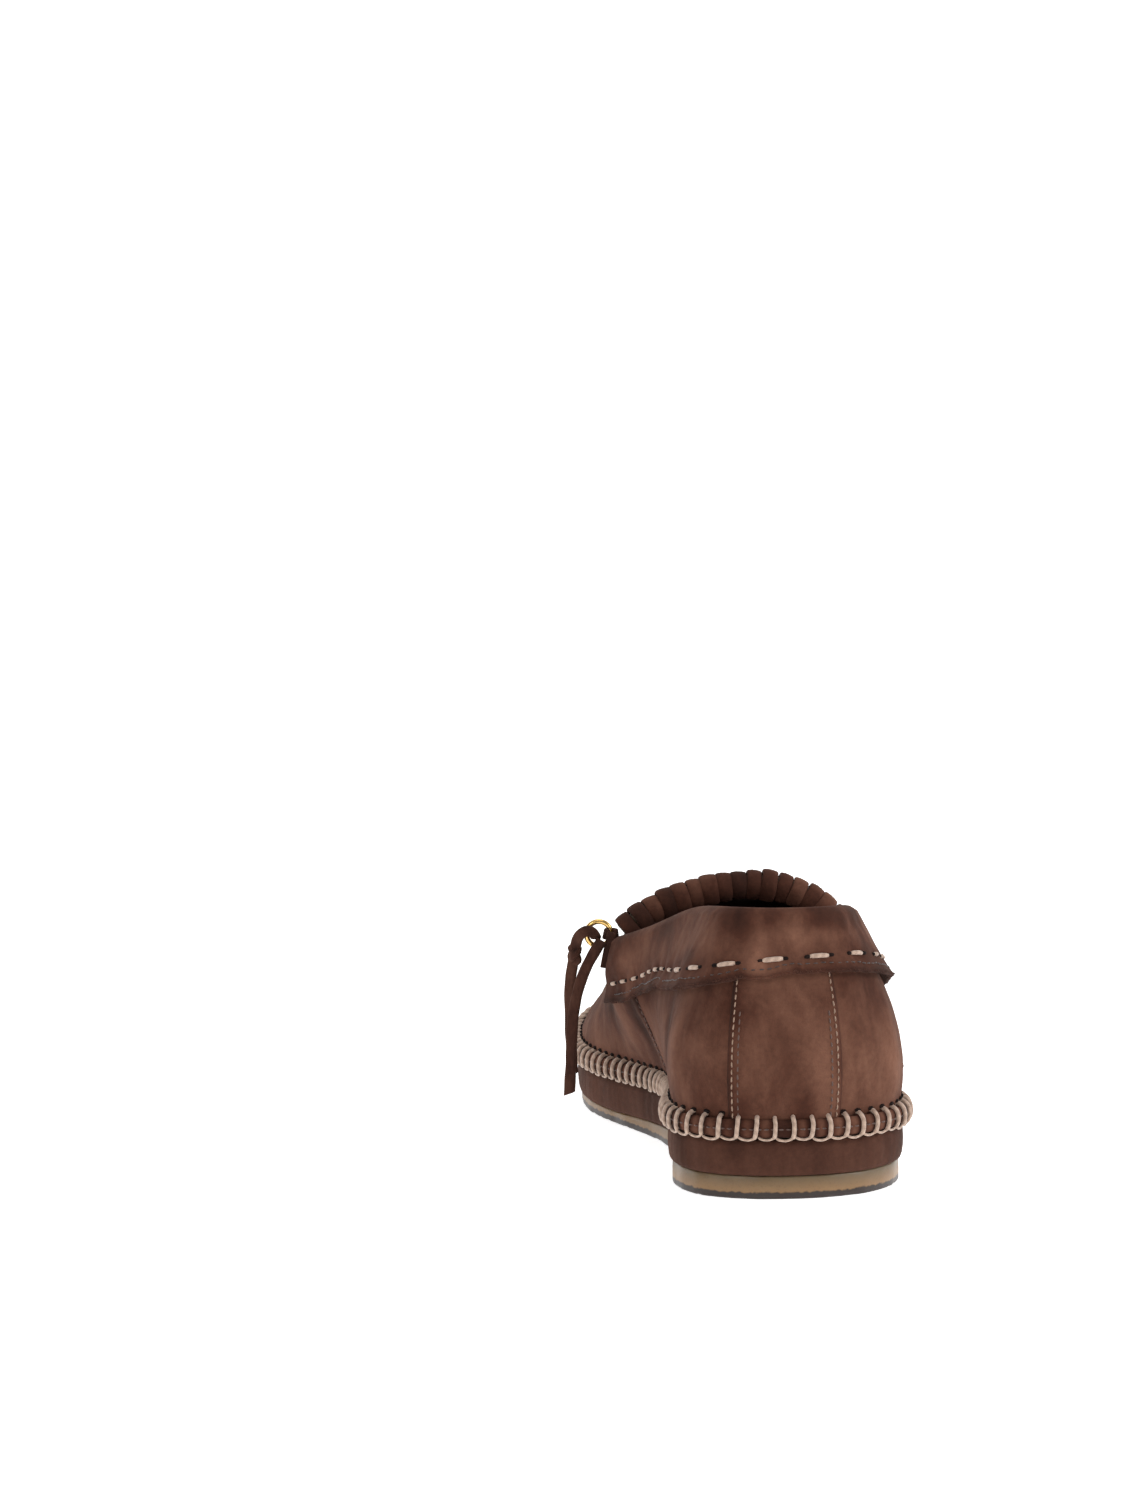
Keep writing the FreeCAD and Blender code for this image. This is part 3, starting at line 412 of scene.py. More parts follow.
def new_group(name, inputs, outputs, tree_type="ShaderNodeTree"):
    """A node group with named sockets; inputs are (name, type, default)."""
    group = bpy.data.node_groups.new(name, tree_type)
    for label, kind, value in inputs:
        socket = group.interface.new_socket(label, in_out="INPUT", socket_type=kind)
        if value is not None:
            socket.default_value = value
    for label, kind in outputs:
        group.interface.new_socket(label, in_out="OUTPUT", socket_type=kind)
    entry = group.nodes.new("NodeGroupInput")
    leave = group.nodes.new("NodeGroupOutput")
    return group, entry, leave


class Wires:
    """Short calls that add nodes to one tree and join them."""

    def __init__(self, tree):
        self.tree = tree

    def add(self, kind, inputs=(), **settings):
        """A node with its settings, and its inputs as links or values."""
        node = self.tree.nodes.new(kind)
        for key, value in settings.items():
            setattr(node, key, value)
        for key, value in dict(inputs).items():
            self.set(node.inputs[key], value)
        return node

    def set(self, socket, value):
        """Joins a socket to another, or sets its value."""
        if isinstance(value, bpy.types.NodeSocket):
            self.tree.links.new(value, socket)
        else:
            socket.default_value = value

    def math(self, operation, a, b=0.0, c=None):
        """One arithmetic step."""
        node = self.add("ShaderNodeMath", {0: a, 1: b}, operation=operation)
        if c is not None:
            self.set(node.inputs[2], c)
        return node.outputs[0]

    def noise(self, vector, scale, detail=2.0, rough=0.5, distortion=0.0):
        """A noise field's value."""
        node = self.add("ShaderNodeTexNoise", {
            "Vector": vector, "Scale": scale, "Detail": detail,
            "Roughness": rough, "Distortion": distortion})
        return node.outputs["Fac"]

    def spread(self, value, low, high, to_low=0.0, to_high=1.0):
        """A value taken from one range to another, clamped."""
        node = self.add("ShaderNodeMapRange", {
            "Value": value, "From Min": low, "From Max": high,
            "To Min": to_low, "To Max": to_high})
        return node.outputs[0]

    def mix(self, share, a, b, blend="MIX"):
        """A mix of two colours."""
        node = self.add("ShaderNodeMix", data_type="RGBA", blend_type=blend)
        for socket, value in zip((node.inputs[0], node.inputs[6], node.inputs[7]),
                                 (share, a, b)):
            self.set(socket, value)
        return node.outputs[2]


def colour(red, green, blue):
    """A colour given as it shows on a screen, 0 to 255, made linear."""
    linear = []
    for value in (red, green, blue):
        value /= 255
        linear.append(value / 12.92 if value <= 0.04045 else ((value + 0.055) / 1.055) ** 2.4)
    return (*linear, 1.0)


def nap_group():
    """Napped suede: cloudy light and dark nap, fine fibre, the random tone and painted highlight
    and shade fed in per point, and a height for bump.
    """
    group, entry, leave = new_group(
        "suede_nap",
        [("Dark", "NodeSocketColor", None), ("Middle", "NodeSocketColor", None),
         ("Light", "NodeSocketColor", None), ("Cloud Scale", "NodeSocketFloat", 26.0),
         ("Fibre Scale", "NodeSocketFloat", 2600.0), ("Brushed", "NodeSocketFloat", 0.0)],
        [("Color", "NodeSocketColor"), ("Roughness", "NodeSocketFloat"),
         ("Height", "NodeSocketFloat")])
    w = Wires(group)
    place = w.add("ShaderNodeTexCoord").outputs["Object"]
    stretch = w.add("ShaderNodeMapping", {"Vector": place, "Scale": (1.0, 1.0, 0.55)})
    lean = stretch.outputs[0]
    clouds = w.noise(lean, entry.outputs["Cloud Scale"], 3.0, 0.55, 0.9)
    smudge = w.noise(lean, w.math("MULTIPLY", entry.outputs["Cloud Scale"], 4.2), 3.0, 0.6, 0.5)
    mottle = w.noise(place, 520.0, 3.0, 0.65)
    fibre = w.noise(place, entry.outputs["Fibre Scale"], 2.0, 0.7)
    light = w.math("ADD", w.math("MULTIPLY", clouds, 1.15), w.math("MULTIPLY", smudge, 0.5))
    light = w.math("ADD", light, entry.outputs["Brushed"])
    light_share = w.spread(light, 0.78, 1.28)
    dark_share = w.spread(light, 0.80, 0.52)
    tone = w.mix(dark_share, entry.outputs["Middle"], entry.outputs["Dark"])
    tone = w.mix(light_share, tone, entry.outputs["Light"])
    grain = w.spread(w.math("ADD", mottle, w.math("MULTIPLY", fibre, 0.7)), 0.55, 1.15, 0.80, 1.18)
    grey = w.add("ShaderNodeCombineColor", {0: grain, 1: grain, 2: grain}).outputs[0]
    w.set(leave.inputs["Color"], w.mix(1.0, tone, grey, "MULTIPLY"))
    w.set(leave.inputs["Roughness"], w.spread(fibre, 0.3, 0.7, 0.86, 1.0))
    height = w.math("ADD", w.math("MULTIPLY", fibre, 0.6), w.math("MULTIPLY", mottle, 0.5))
    height = w.math("ADD", height, w.math("MULTIPLY", smudge, 0.6))
    w.set(leave.inputs["Height"], height)
    return group


NAP = nap_group()


def new_material(name):
    """A material with a Principled shader, and the helper to wire it."""
    material = bpy.data.materials.new(name)
    material.use_nodes = True
    shader = material.node_tree.nodes["Principled BSDF"]
    return material, shader, Wires(material.node_tree)


def suede(name, dark, middle, light, bump=0.35, sheen=0.10, cloud_scale=26.0, brushed=0.0):
    """Napped suede in three tones, lightened and darkened per point by random tone and by painted
    highlight and shade.
    """
    material, shader, w = new_material(name)
    tone_and_painted_light = w.add("ShaderNodeAttribute", attribute_name="brushed").outputs["Fac"]
    nap = w.add("ShaderNodeGroup", node_tree=NAP)
    for key, value in (("Dark", dark), ("Middle", middle), ("Light", light),
                       ("Cloud Scale", cloud_scale),
                       ("Brushed", w.math("ADD", tone_and_painted_light, brushed))):
        w.set(nap.inputs[key], value)
    bumped = w.add("ShaderNodeBump", {"Strength": bump, "Distance": 0.0004,
                                      "Height": nap.outputs["Height"]})
    w.set(shader.inputs["Base Color"], nap.outputs["Color"])
    w.set(shader.inputs["Roughness"], nap.outputs["Roughness"])
    w.set(shader.inputs["Normal"], bumped.outputs[0])
    shader.inputs["Specular IOR Level"].default_value = 0.18
    shader.inputs["Sheen Weight"].default_value = sheen
    shader.inputs["Sheen Roughness"].default_value = 0.45
    shader.inputs["Sheen Tint"].default_value = colour(190, 142, 116)
    return material


DARK_SUEDE, MIDDLE_SUEDE, LIGHT_SUEDE = colour(44, 23, 16), colour(72, 41, 30), colour(122, 84, 67)
SUEDE = suede("brown_suede", DARK_SUEDE, MIDDLE_SUEDE, LIGHT_SUEDE)
RAND_SUEDE = suede("rand_suede", colour(48, 28, 21), colour(70, 42, 32), colour(92, 60, 47))
RAW_SUEDE = suede("raw_edge_suede", colour(58, 34, 28), colour(84, 52, 43), colour(112, 80, 68),
                  bump=0.8, sheen=0.2, cloud_scale=90.0)
THONG_SUEDE = suede("thong_suede", colour(42, 24, 18), colour(64, 38, 29), colour(94, 64, 51),
                    cloud_scale=70.0)


def lining_material():
    """Smooth dark lining leather with a fine pebble."""
    material, shader, w = new_material("lining_leather")
    place = w.add("ShaderNodeTexCoord").outputs["Object"]
    cells = w.add("ShaderNodeTexVoronoi", {"Vector": place, "Scale": 900.0},
                  feature="SMOOTH_F1")
    clouds = w.noise(place, 60.0, 3.0)
    tone = w.mix(w.spread(clouds, 0.35, 0.7), colour(34, 23, 19), colour(58, 40, 33))
    w.set(shader.inputs["Base Color"], tone)
    w.set(shader.inputs["Roughness"], w.spread(clouds, 0.3, 0.7, 0.48, 0.66))
    height = w.math("ADD", cells.outputs["Distance"], w.math("MULTIPLY", clouds, 0.6))
    bumped = w.add("ShaderNodeBump", {"Strength": 0.25, "Distance": 0.0003, "Height": height})
    w.set(shader.inputs["Normal"], bumped.outputs[0])
    return material


def gum_material():
    """Amber gum rubber, greyer and duller towards its top edge, with a painted contact shadow
    along its foot.
    """
    material, shader, w = new_material("gum_rubber")
    place = w.add("ShaderNodeTexCoord").outputs["Object"]
    height = w.add("ShaderNodeSeparateXYZ", {0: place}).outputs[2]
    clouds = w.noise(place, 70.0, 3.0, 0.6, 0.4)
    specks = w.noise(place, 1400.0, 2.0, 0.6)
    rise = w.math("ADD", w.spread(height, 0.0008, 0.0072), w.math("MULTIPLY", clouds, 0.35))
    tone = w.mix(w.spread(rise, 0.1, 1.1), colour(152, 112, 66), colour(106, 88, 64))
    tone = w.mix(w.spread(specks, 0.56, 0.74, 0.0, 0.35), tone, colour(92, 72, 50))
    # Painted contact shadow: dark brown along the gum's foot, with a ragged upper boundary.
    contact_shadow_height = w.math("ADD", height, w.math("MULTIPLY", w.noise(place, 420.0, 2.0), 0.0016))
    tone = w.mix(w.spread(contact_shadow_height, 0.0028, 0.0033), colour(40, 26, 20), tone)
    w.set(shader.inputs["Base Color"], tone)
    w.set(shader.inputs["Roughness"], w.spread(clouds, 0.3, 0.7, 0.36, 0.52))
    bumped = w.add("ShaderNodeBump", {"Strength": 0.2, "Distance": 0.0003, "Height": specks})
    w.set(shader.inputs["Normal"], bumped.outputs[0])
    shader.inputs["Subsurface Weight"].default_value = 0.25
    shader.inputs["Subsurface Radius"].default_value = (0.004, 0.0022, 0.001)
    shader.inputs["Subsurface Scale"].default_value = 1.0
    return material


def thread_material(name, dark, light):
    """Waxed twisted thread: plies run slantwise round it."""
    material, shader, w = new_material(name)
    place = w.add("ShaderNodeTexCoord").outputs["Object"]
    twist = w.add("ShaderNodeAttribute", attribute_name="twist").outputs["Fac"]
    ply = w.math("SINE", w.math("MULTIPLY", twist, 6.2832))
    fluff = w.noise(place, 3000.0, 2.0, 0.6)
    shade = w.math("ADD", w.math("MULTIPLY", ply, 0.16), fluff)
    tone = w.mix(w.spread(shade, 0.1, 0.9), dark, light)
    w.set(shader.inputs["Base Color"], tone)
    shader.inputs["Roughness"].default_value = 0.62
    shader.inputs["Sheen Weight"].default_value = 0.25
    bumped = w.add("ShaderNodeBump", {"Strength": 0.6, "Distance": 0.00025, "Height": shade})
    w.set(shader.inputs["Normal"], bumped.outputs[0])
    return material


def gold_material():
    """Polished gold plating with faint wear."""
    material, shader, w = new_material("gold_metal")
    place = w.add("ShaderNodeTexCoord").outputs["Object"]
    clouds = w.noise(place, 260.0, 3.0)
    w.set(shader.inputs["Base Color"],
          w.mix(w.spread(clouds, 0.35, 0.7), colour(236, 200, 128), colour(208, 164, 92)))
    w.set(shader.inputs["Roughness"], w.spread(clouds, 0.3, 0.7, 0.14, 0.3))
    shader.inputs["Metallic"].default_value = 1.0
    return material


def plain_inside(name, dark, light, scale):
    """Board or foam that the upper and the sock hide."""
    material, shader, w = new_material(name)
    place = w.add("ShaderNodeTexCoord").outputs["Object"]
    field = w.noise(place, scale, 4.0, 0.6)
    w.set(shader.inputs["Base Color"], w.mix(w.spread(field, 0.35, 0.7), dark, light))
    shader.inputs["Roughness"].default_value = 0.9
    bumped = w.add("ShaderNodeBump", {"Strength": 0.3, "Distance": 0.0004, "Height": field})
    w.set(shader.inputs["Normal"], bumped.outputs[0])
    return material


LINING = lining_material()
GUM = gum_material()
THREAD = thread_material("waxed_thread", colour(146, 118, 102), colour(202, 176, 156))
TONAL_THREAD = thread_material("tonal_thread", colour(60, 38, 32), colour(104, 76, 64))
EDGE_THREAD = thread_material("dark_fine_thread", colour(34, 20, 16), colour(64, 42, 34))
PALE_THREAD = thread_material("fine_pale_thread", colour(120, 90, 74), colour(178, 146, 122))
GOLD = gold_material()
BOARD = plain_inside("fibre_board", colour(96, 78, 58), colour(140, 116, 88), 300.0)
FOAM = plain_inside("sole_foam", colour(70, 58, 46), colour(112, 96, 78), 900.0)
# Near-black suede for discs laid over the stitch holes: painted shade inside each hole.
HOLE_SHADE = suede("stitch_hole", colour(16, 9, 8), colour(24, 14, 11), colour(34, 20, 16), sheen=0.0)


# ---------------------------------------------------------------- lines and stitches

def even_places(line, start, end, pitch):
    """Places that lie a pitch apart along a line, and the places' spacing."""
    places = np.linspace(start, end, 1600)
    points = line(places)
    travelled = np.concatenate([[0], np.cumsum(np.linalg.norm(np.diff(points, axis=0), axis=1))])
    count = max(2, round(travelled[-1] / pitch))
    wanted = travelled[-1] * (np.arange(count) + 0.5) / count
    return np.interp(wanted, travelled, places)


def spun_line(points, radii, sides, twist_length=2.4, start_turn=0.0):
    """Round thread along points: rings of vertices, with a ply coordinate."""
    points = np.asarray(points, float)
    ahead = unit(np.gradient(points, axis=0))
    side = unit(np.cross(ahead[0], (0.31, 0.52, 0.79)))
    rings, plies, run = [], [], 0.0
    turn = np.linspace(0, 2 * np.pi, sides, endpoint=False)
    for i, (point, direction, radius) in enumerate(zip(points, ahead, radii)):
        if i:
            run += np.linalg.norm(point - points[i - 1])
        side = unit(side - direction * np.dot(side, direction))
        up = np.cross(direction, side)
        rings.append(point + radius * (np.cos(turn)[:, None] * side + np.sin(turn)[:, None] * up))
        plies.append(run / twist_length + turn / (2 * np.pi) + start_turn)
    return np.array(rings), np.array(plies)


def thread_mesh(name, points, radii, sides=8):
    """A closed thread in millimetres about its own middle, for instancing."""
    rings, plies = spun_line(points, radii, sides)
    rows, columns = rings.shape[:2]
    faces = grid_faces(rows, columns, False, True).tolist()
    faces.append(list(reversed(range(columns))))
    faces.append([(rows - 1) * columns + k for k in range(columns)])
    mesh = bpy.data.meshes.new(name)
    mesh.from_pydata((rings.reshape(-1, 3) * MM).tolist(), [], faces)
    ply = mesh.attributes.new("twist", "FLOAT", "POINT")
    ply.data.foreach_set("value", plies.ravel().astype(np.float32))
    mesh.polygons.foreach_set("use_smooth", [True] * len(mesh.polygons))
    mesh.update()
    return mesh


def smooth_path(points, count):
    """A smooth run of points through a few given ones."""
    controls = fit_controls(points, False)
    return curve_at(controls, np.linspace(0, len(points) - 1, count), False)


def stitch_tree():
    """Node group: puts a copy of one stitch on each point of a guide line.

    Each guide point carries the way along (ahead) and the way out of the leather
    (facing), and how much that one is stretched and leans.
    """
    group, entry, leave = new_group(
        "stitch_line",
        [("Guide", "NodeSocketGeometry", None), ("Stitch", "NodeSocketObject", None),
         ("Size", "NodeSocketFloat", 1.0), ("Unevenness", "NodeSocketFloat", 0.08),
         ("Lean", "NodeSocketFloat", 0.06), ("Seed", "NodeSocketInt", 0),
         ("Material", "NodeSocketMaterial", None)],
        [("Geometry", "NodeSocketGeometry")], "GeometryNodeTree")
    w = Wires(group)
    ahead = w.add("GeometryNodeInputNamedAttribute", {"Name": "ahead"},
                  data_type="FLOAT_VECTOR").outputs["Attribute"]
    facing = w.add("GeometryNodeInputNamedAttribute", {"Name": "facing"},
                   data_type="FLOAT_VECTOR").outputs["Attribute"]
    along = w.add("FunctionNodeAlignRotationToVector", {"Vector": ahead}, axis="X")
    turned = w.add("FunctionNodeAlignRotationToVector",
                   {"Rotation": along.outputs[0], "Vector": facing}, axis="Y", pivot_axis="X")
    lean = w.add("FunctionNodeRandomValue", {"Seed": entry.outputs["Seed"]}, data_type="FLOAT")
    w.set(lean.inputs[2], w.math("MULTIPLY", entry.outputs["Lean"], -1.0))
    w.set(lean.inputs[3], entry.outputs["Lean"])
    tilt = w.add("FunctionNodeAxisAngleToRotation",
                 {"Axis": (0.0, 1.0, 0.0), "Angle": lean.outputs[1]})
    placed = w.add("FunctionNodeRotateRotation",
                   {"Rotation": turned.outputs[0], "Rotate By": tilt.outputs[0]},
                   rotation_space="LOCAL")
    stretch = w.add("FunctionNodeRandomValue",
                    {"Seed": w.math("ADD", entry.outputs["Seed"], 7.0)}, data_type="FLOAT")
    w.set(stretch.inputs[2], w.math("SUBTRACT", 1.0, entry.outputs["Unevenness"]))
    w.set(stretch.inputs[3], w.math("ADD", 1.0, entry.outputs["Unevenness"]))
    size = w.math("MULTIPLY", stretch.outputs[1], entry.outputs["Size"])
    scale = w.add("ShaderNodeCombineXYZ", {0: size, 1: entry.outputs["Size"], 2: size})
    info = w.add("GeometryNodeObjectInfo", {"Object": entry.outputs["Stitch"]},
                 transform_space="ORIGINAL")
    points = w.add("GeometryNodeMeshToPoints", {"Mesh": entry.outputs["Guide"]})
    copies = w.add("GeometryNodeInstanceOnPoints", {
        "Points": points.outputs[0], "Instance": info.outputs["Geometry"],
        "Rotation": placed.outputs[0], "Scale": scale.outputs[0]})
    real = w.add("GeometryNodeRealizeInstances", {"Geometry": copies.outputs[0]})
    dressed = w.add("GeometryNodeSetMaterial", {
        "Geometry": real.outputs[0], "Material": entry.outputs["Material"]})
    w.set(leave.inputs["Geometry"], dressed.outputs[0])
    return group


STITCH_TREE = stitch_tree()


def set_tree_input(modifier, label, value):
    """Sets a node tree's input by its label."""
    for socket in modifier.node_group.interface.items_tree:
        if socket.item_type == "SOCKET" and socket.in_out == "INPUT" and socket.name == label:
            modifier[socket.identifier] = value
            return
    raise KeyError(label)


def stitched(name, points, ahead, facing, stitch, material, **settings):
    """One piece with a stitch at every guide point."""
    mesh = bpy.data.meshes.new(name + "_guide")
    mesh.from_pydata(to_frame(points).tolist(), [], [])
    for label, vectors in (("ahead", ahead), ("facing", facing)):
        field = mesh.attributes.new(label, "FLOAT_VECTOR", "POINT")
        field.data.foreach_set("vector", unit(np.asarray(vectors, float)).ravel())
    piece = add_object(name, mesh)
    pattern = add_object(name + "_pattern", stitch)
    modifier = piece.modifiers.new("stitches", "NODES")
    modifier.node_group = STITCH_TREE
    set_tree_input(modifier, "Stitch", pattern)
    set_tree_input(modifier, "Material", material)
    for label, value in settings.items():
        set_tree_input(modifier, label, value)
    apply_modifiers(piece)
    bpy.data.objects.remove(pattern)
    return piece


def join(name, pieces):
    """Several pieces made into one."""
    with bpy.context.temp_override(active_object=pieces[0], selected_editable_objects=pieces):
        bpy.ops.object.join()
    pieces[0].name = name
    pieces[0].data.name = name
    return pieces[0]


def lens(length, width, depth, count=9):
    """Path and radii of one short stitch that dips into the leather at both ends."""
    share = np.linspace(-1, 1, count)
    path = np.stack([share * length / 2, depth * (1 - share ** 2 * 1.6), share * 0], -1)
    return path, width / 2 * np.sqrt(np.clip(1.04 - share ** 4, 0.02, 1))


# ---------------------------------------------------------------- camera and light

CAMERA_X, CAMERA_Y, CAMERA_Z = -190.6, -1489.5, 279.0
CAMERA_LENS = 114.0
CAMERA_PITCH = 5.13
CAMERA_YAW = 4.6


def set_camera():
    """The camera stands behind the pair, low, with a long lens."""
    lens_data = bpy.data.cameras.new("camera")
    lens_data.lens = CAMERA_LENS
    lens_data.sensor_width = 36.0
    lens_data.sensor_fit = "AUTO"
    lens_data.clip_end = 20.0
    camera = bpy.data.objects.new("camera", lens_data)
    bpy.context.scene.collection.objects.link(camera)
    camera.location = to_frame((CAMERA_X, CAMERA_Y, CAMERA_Z))
    camera.rotation_euler = (math.radians(90 - CAMERA_PITCH), 0, -math.radians(CAMERA_YAW))
    bpy.context.scene.camera = camera


def add_light(name, place, aim, power, size):
    """A square soft light."""
    data = bpy.data.lights.new(name, "AREA")
    data.energy = power
    data.size = size
    light = bpy.data.objects.new(name, data)
    bpy.context.scene.collection.objects.link(light)
    light.location = place
    light.rotation_euler = (Vector(aim) - Vector(place)).to_track_quat("-Z", "Y").to_euler()
    return light


def set_light():
    """White studio: bright surroundings, a key from the upper left behind the camera."""
    world = bpy.data.worlds.new("studio")
    world.use_nodes = True
    world.node_tree.nodes["Background"].inputs["Color"].default_value = (1.0, 1.0, 1.0, 1.0)
    world.node_tree.nodes["Background"].inputs["Strength"].default_value = 0.30
    bpy.context.scene.world = world
    aim = (0.0, -0.02, 0.04)
    return [add_light("left", (-0.75, -1.35, 0.95), aim, 5.0, 0.5),
            add_light("right", (1.35, -0.55, 0.75), aim, 10.5, 0.5),
            add_light("top", (0.1, -0.1, 1.5), aim, 7.5, 0.8)]


def add_floor():
    """Plain white floor that runs up into the background."""
    material, shader, _ = new_material("studio_floor")
    shader.inputs["Base Color"].default_value = (0.93, 0.93, 0.93, 1.0)
    shader.inputs["Roughness"].default_value = 0.9
    shader.inputs["Emission Color"].default_value = (1.0, 1.0, 1.0, 1.0)
    shader.inputs["Emission Strength"].default_value = 0.72
    profile = [(-4.0, 0.0), (2.2, 0.0), (2.8, 0.08), (3.3, 0.35), (3.6, 0.9), (3.7, 6.0)]
    corners = [(x, y, z) for y, z in profile for x in (-8.0, 8.0)]
    mesh = bpy.data.meshes.new("floor")
    mesh.from_pydata(corners, [], [(2 * i, 2 * i + 1, 2 * i + 3, 2 * i + 2) for i in range(5)])
    floor = add_object("floor", mesh)
    mesh.materials.append(material)
    return floor


set_camera()
view = bpy.context.scene.view_settings
view.view_transform = "Standard"
view.look = "None"
add_floor()
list(set_light())


# ---------------------------------------------------------------- sole

def slab(name, section, count):
    """A closed layer: sections round the outline, joined across above and below."""
    stations = np.linspace(0, STATIONS, count, endpoint=False)
    grid = section(stations)
    rows, columns = grid.shape[:2]
    faces = grid_faces(rows, columns, True, False).tolist()
    for k in range(rows // 2):
        near, ahead = k, k + 1
        far, far_ahead = (rows - k) % rows, rows - k - 1
        low = [near, far, far_ahead, ahead]
        low = list(dict.fromkeys(i * columns for i in low))
        if len(low) > 2:
            faces.append(low)
            faces.append([i + columns - 1 for i in reversed(low)])
    mesh = bpy.data.meshes.new(name)
    mesh.from_pydata(to_frame(grid.reshape(-1, 3)).tolist(), [], faces)
    smooth = [i < rows * (columns - 1) for i in range(len(mesh.polygons))]
    mesh.polygons.foreach_set("use_smooth", smooth)
    mesh.update()
    return add_object(name, mesh)


def around(stations, offsets, heights):
    """Section points at offsets from the outline and at heights, for many stations."""
    columns = []
    for offset, height in zip(offsets, heights):
        point = outline(stations, np.full(stations.shape, 0.0) + offset)
        point[..., 2] = height(point[..., 1]) if callable(height) else height
        columns.append(point)
    return np.stack(columns, 1)


def outsole_section(stations):
    """Gum rubber edge: thin ragged trim below, slight ripples on the face."""
    run = stations * STATION_RUN
    ragged = 0.32 * wave_noise(run / 3.1, 0, 5) + 0.25 * wave_noise(run / 11.0, 0, 9)
    ragged = np.clip(ragged, -0.2, 0.6)
    ripple = 0.16 * wave_noise(run / 7.0, 0, 2)
    offsets = (-5.0, -1.0, -0.25 + ripple, 0.0 + ripple, 0.05 + ripple, -0.1 + ripple,
               -0.35, -1.2, -5.0)
    low, top = toe_lift, outsole_top
    heights = (low, low, lambda y: low(y) + 0.12 + np.maximum(ragged, 0),
               lambda y: low(y) + 0.8 + ragged, lambda y: low(y) * 0.5 + top(y) * 0.5,
               lambda y: top(y) - 0.7, lambda y: top(y) - 0.12, top, top)
    return around(stations, offsets, heights)


def add_sole():
    """Rubber outsole and the suede wrapped round the midsole."""
    outsole = slab("outsole_gum", outsole_section, 640)
    finish_piece(outsole, GUM, nodes=("outsole",))

    stations = np.linspace(0, STATIONS, 780, endpoint=False)
    run = stations * STATION_RUN
    soft = 0.28 * wave_noise(run / 9.0, 0, 12) + 0.12 * wave_noise(run / 2.6, 0, 14)
    low, top = outsole_top, rand_top
    offsets = (-1.4, 0.2, 0.75 + soft * 0.4, 1.15 + soft, 1.45 + soft, 1.5 + soft,
               1.35 + soft * 0.8, 0.95, 0.4, -0.9)
    heights = (lambda y: low(y) + 0.15, lambda y: low(y) + 0.15, lambda y: low(y) + 0.5,
               lambda y: low(y) + 1.6, lambda y: low(y) + 4.0, lambda y: low(y) + 6.6,
               lambda y: top(y) - 2.4, lambda y: top(y) - 0.9, lambda y: top(y) - 0.2, top)
    grid = around(stations, offsets, heights)
    rand = grid_piece("rand_suede_wrap", grid, closed_rows=True, closed_columns=True,
                      tone_and_painted_light=np.zeros(grid.shape[:2]) - 0.04)
    finish_piece(rand, RAND_SUEDE, nodes=("rand_cover",))


# ---------------------------------------------------------------- stitched ridge

RIDGE_OFFSET = 1.95
RIDGE_LIFT = 3.8
RIDGE_HALF_HEIGHT = 3.0
RIDGE_HALF_WIDTH = 1.6
WHIP_PITCH = 5.9


def ridge_centre(stations):
    """Middle line of the stitched ridge."""
    point = outline(stations, np.full(np.shape(stations), RIDGE_OFFSET))
    point[..., 2] = rand_top(point[..., 1]) + RIDGE_LIFT
    return point


WHIP_STATIONS = even_places(ridge_centre, 0, STATIONS, WHIP_PITCH)


def whip_phase(stations):
    """1 at a whipstitch, 0 half way between two of them."""
    count = np.arange(len(WHIP_STATIONS))
    place = np.interp(stations, WHIP_STATIONS, count, period=None)
    return 0.5 + 0.5 * np.cos(2 * np.pi * place)


